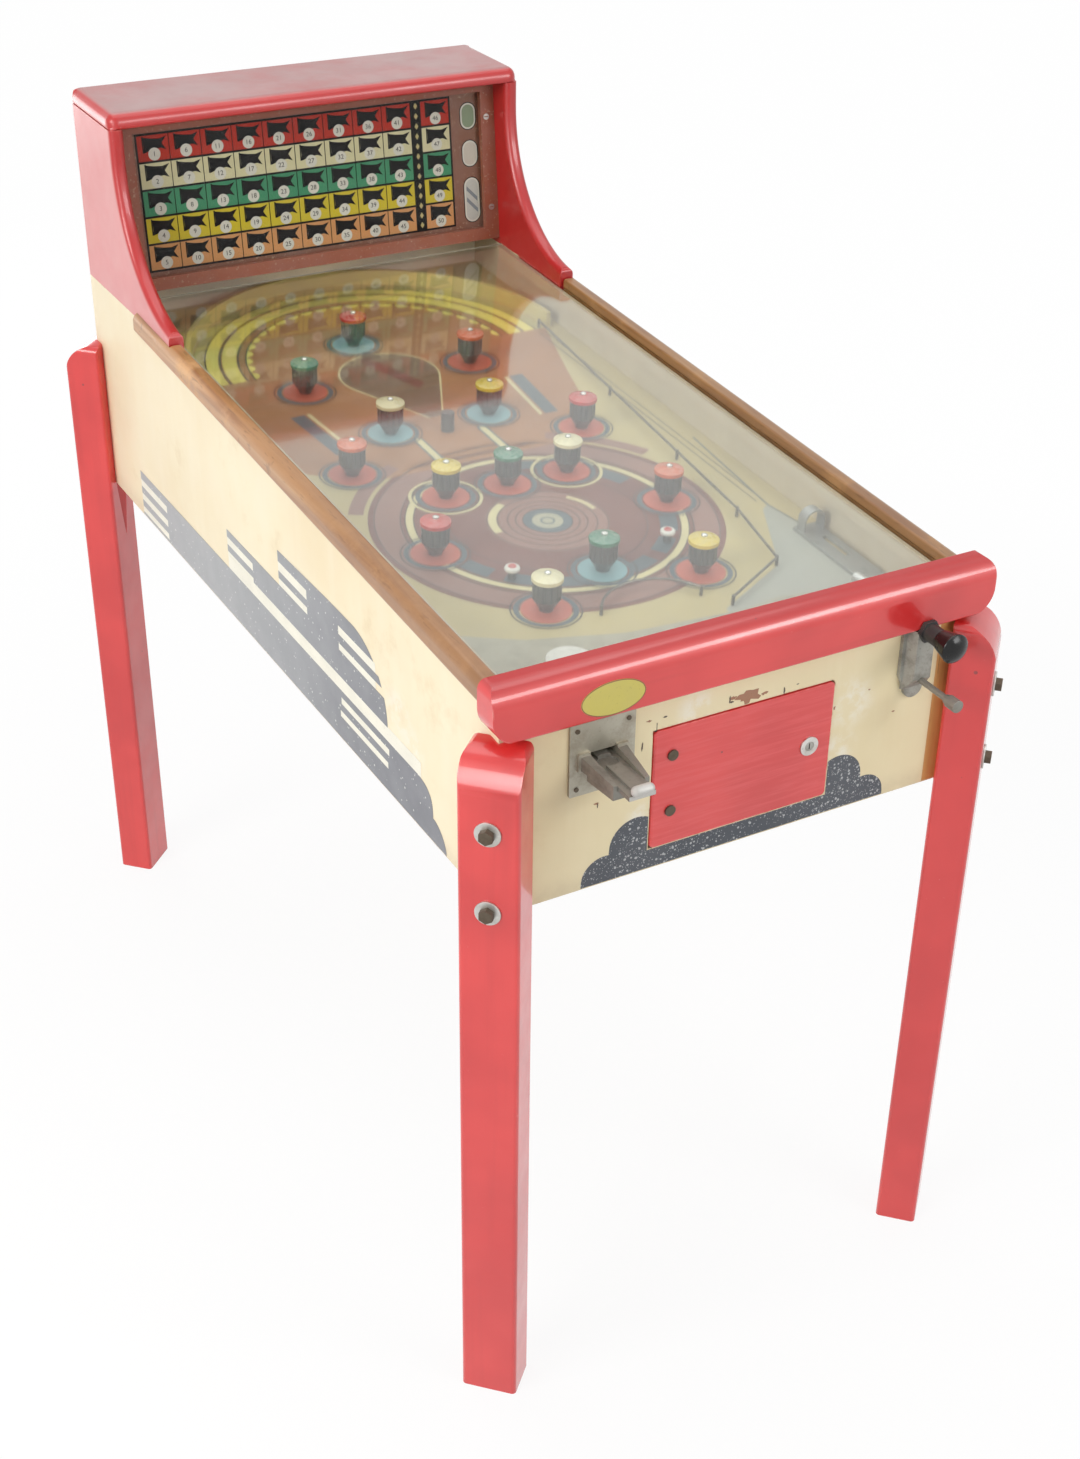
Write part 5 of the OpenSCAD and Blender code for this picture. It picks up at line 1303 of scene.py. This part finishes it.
# %% Chips and bare strip
random.seed(11)
CHIPS = ((0.0006, 0.8140, 0.0150, 0.55), (-0.0170, 0.8172, 0.0050, 0.5),
         (0.0210, 0.8124, 0.0040, 0.5), (-0.1145, 0.8174, 0.0030, 0.5),
         (-0.1714, 0.7390, 0.0030, 0.5), (0.1115, 0.7700, 0.0016, 1.6),
         (0.190, 0.7440, 0.0020, 0.6), (0.155, 0.7800, 0.0016, 0.7))
SCRATCHES = ((-0.0206, 0.8160, 0.0011, 3.6), (-0.0180, 0.8128, 0.0026, 0.4),
             (0.0455, 0.8085, 0.0011, 4.2), (-0.0961, 0.8175, 0.0030, 0.35),
             (-0.1211, 0.7900, 0.0011, 4.6), (-0.1700, 0.7362, 0.0010, 3.2),
             (0.0620, 0.8120, 0.0018, 0.4))
CHIP_POINTS = 18


def chip_outline(x, z, r, drawn):
    outline = []
    for k in range(CHIP_POINTS):
        a = 2 * math.pi * k / CHIP_POINTS
        reach = r * random.uniform(0.5, 1.2)
        outline.append((x + reach * math.cos(a), z + reach * drawn * math.sin(a)))
    return outline


film("paint_chips", [chip_outline(*chip) for chip in CHIPS], FRONT, FIRST_COAT,
     ink("chip_brown", (0.36, 0.17, 0.09), 0.6))
film("paint_scratches", [chip_outline(*mark) for mark in SCRATCHES], FRONT, SECOND_COAT,
     ink("scratch_dark", (0.09, 0.06, 0.04), 0.6))
STRIP_LEFT, STRIP_RIGHT, STRIP_TOP = 0.2410, 0.2603, FRONT_TOP_Z - 0.0015
film("bare_strip", [rectangle(STRIP_LEFT, STENCIL_FOOT, STRIP_RIGHT, STRIP_TOP)],
     FRONT, FIRST_COAT, strip_wood)
print("chips", len(CHIPS), "scratches", len(SCRATCHES))

# %% [markdown]
# A plain yellow oval plate sits on the front rail, with a brown line along its rim. It is
# thick enough to show an edge, and the line is a film on top of it.

# %% Oval plate
OVAL_X, OVAL_Z, OVAL_W, OVAL_H, OVAL_STEPS = -0.1655, 0.8667, 0.0355, 0.0187, 64
OVAL_T, OVAL_LIFT, OVAL_LINE_LIFT = 0.0004, 0.0002, 0.00045
label_yellow = ink("label_yellow", (0.62, 0.53, 0.10), 0.35)
label_line = ink("label_line", (0.26, 0.10, 0.03), 0.4)


def oval(inset):
    turns = [2 * math.pi * k / OVAL_STEPS for k in range(OVAL_STEPS)]
    return [(OVAL_X + (OVAL_W - inset) * math.cos(a), OVAL_Z + (OVAL_H - inset) * math.sin(a))
            for a in turns]


film("oval_plate", [oval(0)], RAIL_FACE, OVAL_LIFT, label_yellow, thick=OVAL_T)
film("oval_line", [oval(0.0001), oval(0.0011)], RAIL_FACE, OVAL_LINE_LIFT, label_line)
print("oval plate", 2 * OVAL_W, "by", 2 * OVAL_H)

# %% [markdown]
# The score glass carries its printing on the back. The brown ground lies deepest, then a
# black block, and the coloured cells lie over that, so the block shows as lines between
# them. Every pass lies a film's thickness in front of the one before it.

# %% Score ground
CELL_W, CELL_H, COLUMN_GAP, ROW_GAP = 0.0404, 0.0312, 0.0012, 0.0027
GRID_X, GRID_Z, LAST_COLUMN_GAP = -0.2315, 0.0235, 0.0145
COLUMNS, ROWS = 10, 5
PRINT_LIFT, BEHIND_GLASS = -0.0038, 0.1
GROUND_EDGE, GROUND_TOP = 0.002, 0.2
score_black = ink("score_black", (0.006, 0.005, 0.005), 0.4, 0.0, shine=BEHIND_GLASS)
score_white = ink("score_white", (0.66, 0.65, 0.58), 0.4, shine=BEHIND_GLASS)
score_gold = ink("score_gold", (0.50, 0.42, 0.18), 0.4, shine=BEHIND_GLASS)
row_inks = [ink("score_" + name, colour, 0.4, 0.15, shine=BEHIND_GLASS) for name, colour in (
    ("orange", (0.60, 0.29, 0.115)), ("yellow", (0.60, 0.48, 0.035)),
    ("green", (0.055, 0.255, 0.13)), ("cream", (0.64, 0.60, 0.37)), ("red", (0.44, 0.032, 0.018)))]


def score_film(name, loops, pass_number, material):
    return film(name, loops, SCORE, PRINT_LIFT + FILM_T * pass_number, material)


def cell_place(column, row):
    gap = LAST_COLUMN_GAP if column == COLUMNS - 1 else 0.0
    return GRID_X + column * (CELL_W + COLUMN_GAP) + gap, GRID_Z + row * (CELL_H + ROW_GAP)


ground = rectangle(GROUND_EDGE - INNER_X, GROUND_EDGE, INNER_X - GROUND_EDGE, GROUND_TOP)
score_film("score_ground", [ground], 0,
           ink("score_brown", (0.22, 0.095, 0.06), 0.3, fleck=0.5, shine=0.2))
x_end = cell_place(COLUMNS - 1, 0)[0] + CELL_W + ROW_GAP
z_end = cell_place(0, ROWS - 1)[1] + CELL_H + ROW_GAP
block = rectangle(GRID_X - ROW_GAP, GRID_Z - ROW_GAP, x_end, z_end)
score_film("score_lines", [block], 2, score_black)
print("score block", round(x_end - GRID_X + ROW_GAP, 4), "by", round(z_end - GRID_Z + ROW_GAP, 4))

# %% [markdown]
# Each cell has a black pennant on a pole, and a white disc for a plain number. A dark
# strip with small lozenges parts the last column from the others. All cells of a row are
# one film, because they are one colour.

# %% Score cells
POLE = (0.0062, 0.0100, 0.0082, 0.0302)
PENNANT = ((0.0078, 0.0292), (0.0078, 0.0150), (0.0185, 0.0132), (0.0300, 0.0148),
           (0.0372, 0.0118), (0.0318, 0.0205), (0.0384, 0.0288), (0.0290, 0.0262),
           (0.0180, 0.0272))
DISC_X, DISC_Z, DISC_R = 0.0209, 0.0080, 0.0079
LOZENGES, LOZENGE_FROM, LOZENGE_STEP, LOZENGE_W, LOZENGE_H = 13, 0.006, 0.0130, 0.0028, 0.0042
pennants, discs = [], []
for row, row_ink in enumerate(row_inks):
    loops = []
    for x, z in (cell_place(column, row) for column in range(COLUMNS)):
        loops.append(rectangle(x, z, x + CELL_W, z + CELL_H))
        pennants.append(rectangle(x + POLE[0], z + POLE[1], x + POLE[2], z + POLE[3]))
        pennants.append([(x + a, z + b) for a, b in PENNANT])
        discs.append(circle(x + DISC_X, z + DISC_Z, DISC_R, 24))
    score_film("score_row_%d" % row, loops, 3, row_ink)
score_film("score_pennants", pennants, 4, score_black)
score_film("score_discs", discs, 5, score_white)
strip_x = cell_place(COLUMNS - 1, 0)[0] - LAST_COLUMN_GAP / 2
lozenges = []
for k in range(LOZENGES):
    z = GRID_Z + LOZENGE_FROM + k * LOZENGE_STEP
    lozenges.append([(strip_x - LOZENGE_W, z), (strip_x, z - LOZENGE_H),
                     (strip_x + LOZENGE_W, z), (strip_x, z + LOZENGE_H)])
score_film("score_lozenges", lozenges, 4, score_gold)
print("cells", len(discs), "lozenges", len(lozenges))

# %% [markdown]
# Three windows stand at the right: a dark line, a pale ring, and a pane, each drawn as
# the same capsule, inset a little more for each pass. The lowest one has two slanted
# strokes. Two slotted screws hold the frame beside them.

# %% Score windows and frame screws
WINDOWS = ((0.2140, 0.1463, 0.2385, 0.1828), (0.2145, 0.0972, 0.2390, 0.1337),
           (0.2145, 0.0228, 0.2392, 0.0845))
WINDOW_LINE, WINDOW_RING, STROKE_IN = 0.0012, 0.0034, 0.0045
window_panes = [ink("window_" + name, colour, 0.4, shine=BEHIND_GLASS) for name, colour in (
    ("green", (0.24, 0.31, 0.20)), ("pale", (0.58, 0.54, 0.47)), ("grey", (0.52, 0.53, 0.50)))]


def inset_window(window, inset):
    left, low, right, high = window
    return capsule(left + inset, low + inset, right - inset, high - inset)


score_film("score_window_lines", [inset_window(w, 0) for w in WINDOWS], 3, score_black)
score_film("score_windows", [inset_window(w, WINDOW_LINE) for w in WINDOWS], 4, score_white)
for number, (window, pane_ink) in enumerate(zip(WINDOWS, window_panes)):
    score_film("score_window_%d" % number, [inset_window(window, WINDOW_RING)], 5, pane_ink)
left, low, right, high = WINDOWS[2]
strokes = [[(left + STROKE_IN, z + 0.016), (left + STROKE_IN, z + 0.022),
            (right - STROKE_IN, z + 0.006), (right - STROKE_IN, z)]
           for z in (low + 0.013, low + 0.028)]
score_film("score_strokes", strokes, 6, ink("stroke_slate", (0.16, 0.19, 0.22), 0.3))
SCREWS, SCREW_R, SCREW_LIFT, SCREW_T = ((0.2480, 0.163), (0.2500, 0.043)), 0.0040, 0.0083, 0.0012
SLOT_REACH, SLOT_W = 0.0033, 0.0006
screw_loops = []
for x, z in SCREWS:
    screw_loops.append(circle(x, z, SCREW_R, 24))
    screw_loops.append(rectangle(x - SLOT_REACH, z - SLOT_W, x + SLOT_REACH, z + SLOT_W))
film("frame_screws", screw_loops, SCORE, SCREW_LIFT, plug_metal, SCREW_T)
print("windows", len(WINDOWS), "screws", len(SCREWS))

# %% [markdown]
# The numbers run down the columns. Each is a text object, turned into a mesh before it
# is laid on its disc, and all of them are joined into one piece.

# %% Score numbers
NUMBER_SIZE, NUMBER_LIFT = 0.0085, PRINT_LIFT + 0.0006
numbers = []
for row in range(ROWS):
    for column in range(COLUMNS):
        x, z = cell_place(column, row)
        bpy.ops.object.select_all(action="DESELECT")
        bpy.ops.object.text_add()
        text = bpy.context.object
        text.data.body = str(ROWS - row + ROWS * column)
        text.data.align_x, text.data.align_y = "CENTER", "CENTER"
        text.data.size = NUMBER_SIZE
        text.data.extrude = FILM_T / 2
        text.data.resolution_u = 3
        bpy.ops.object.convert(target="MESH")
        number = bpy.context.object
        number.data.transform(
            SCORE @ Matrix.Translation((x + DISC_X, z + DISC_Z, NUMBER_LIFT)))
        numbers.append(number)
bpy.ops.object.select_all(action="DESELECT")
for number in numbers:
    number.select_set(True)
bpy.context.view_layer.objects.active = numbers[0]
bpy.ops.object.join()
numbers[0].name = "score_numbers"
finish_with(numbers[0], score_black)
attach(numbers[0], "cabinet")
print("numbers", ROWS * COLUMNS)
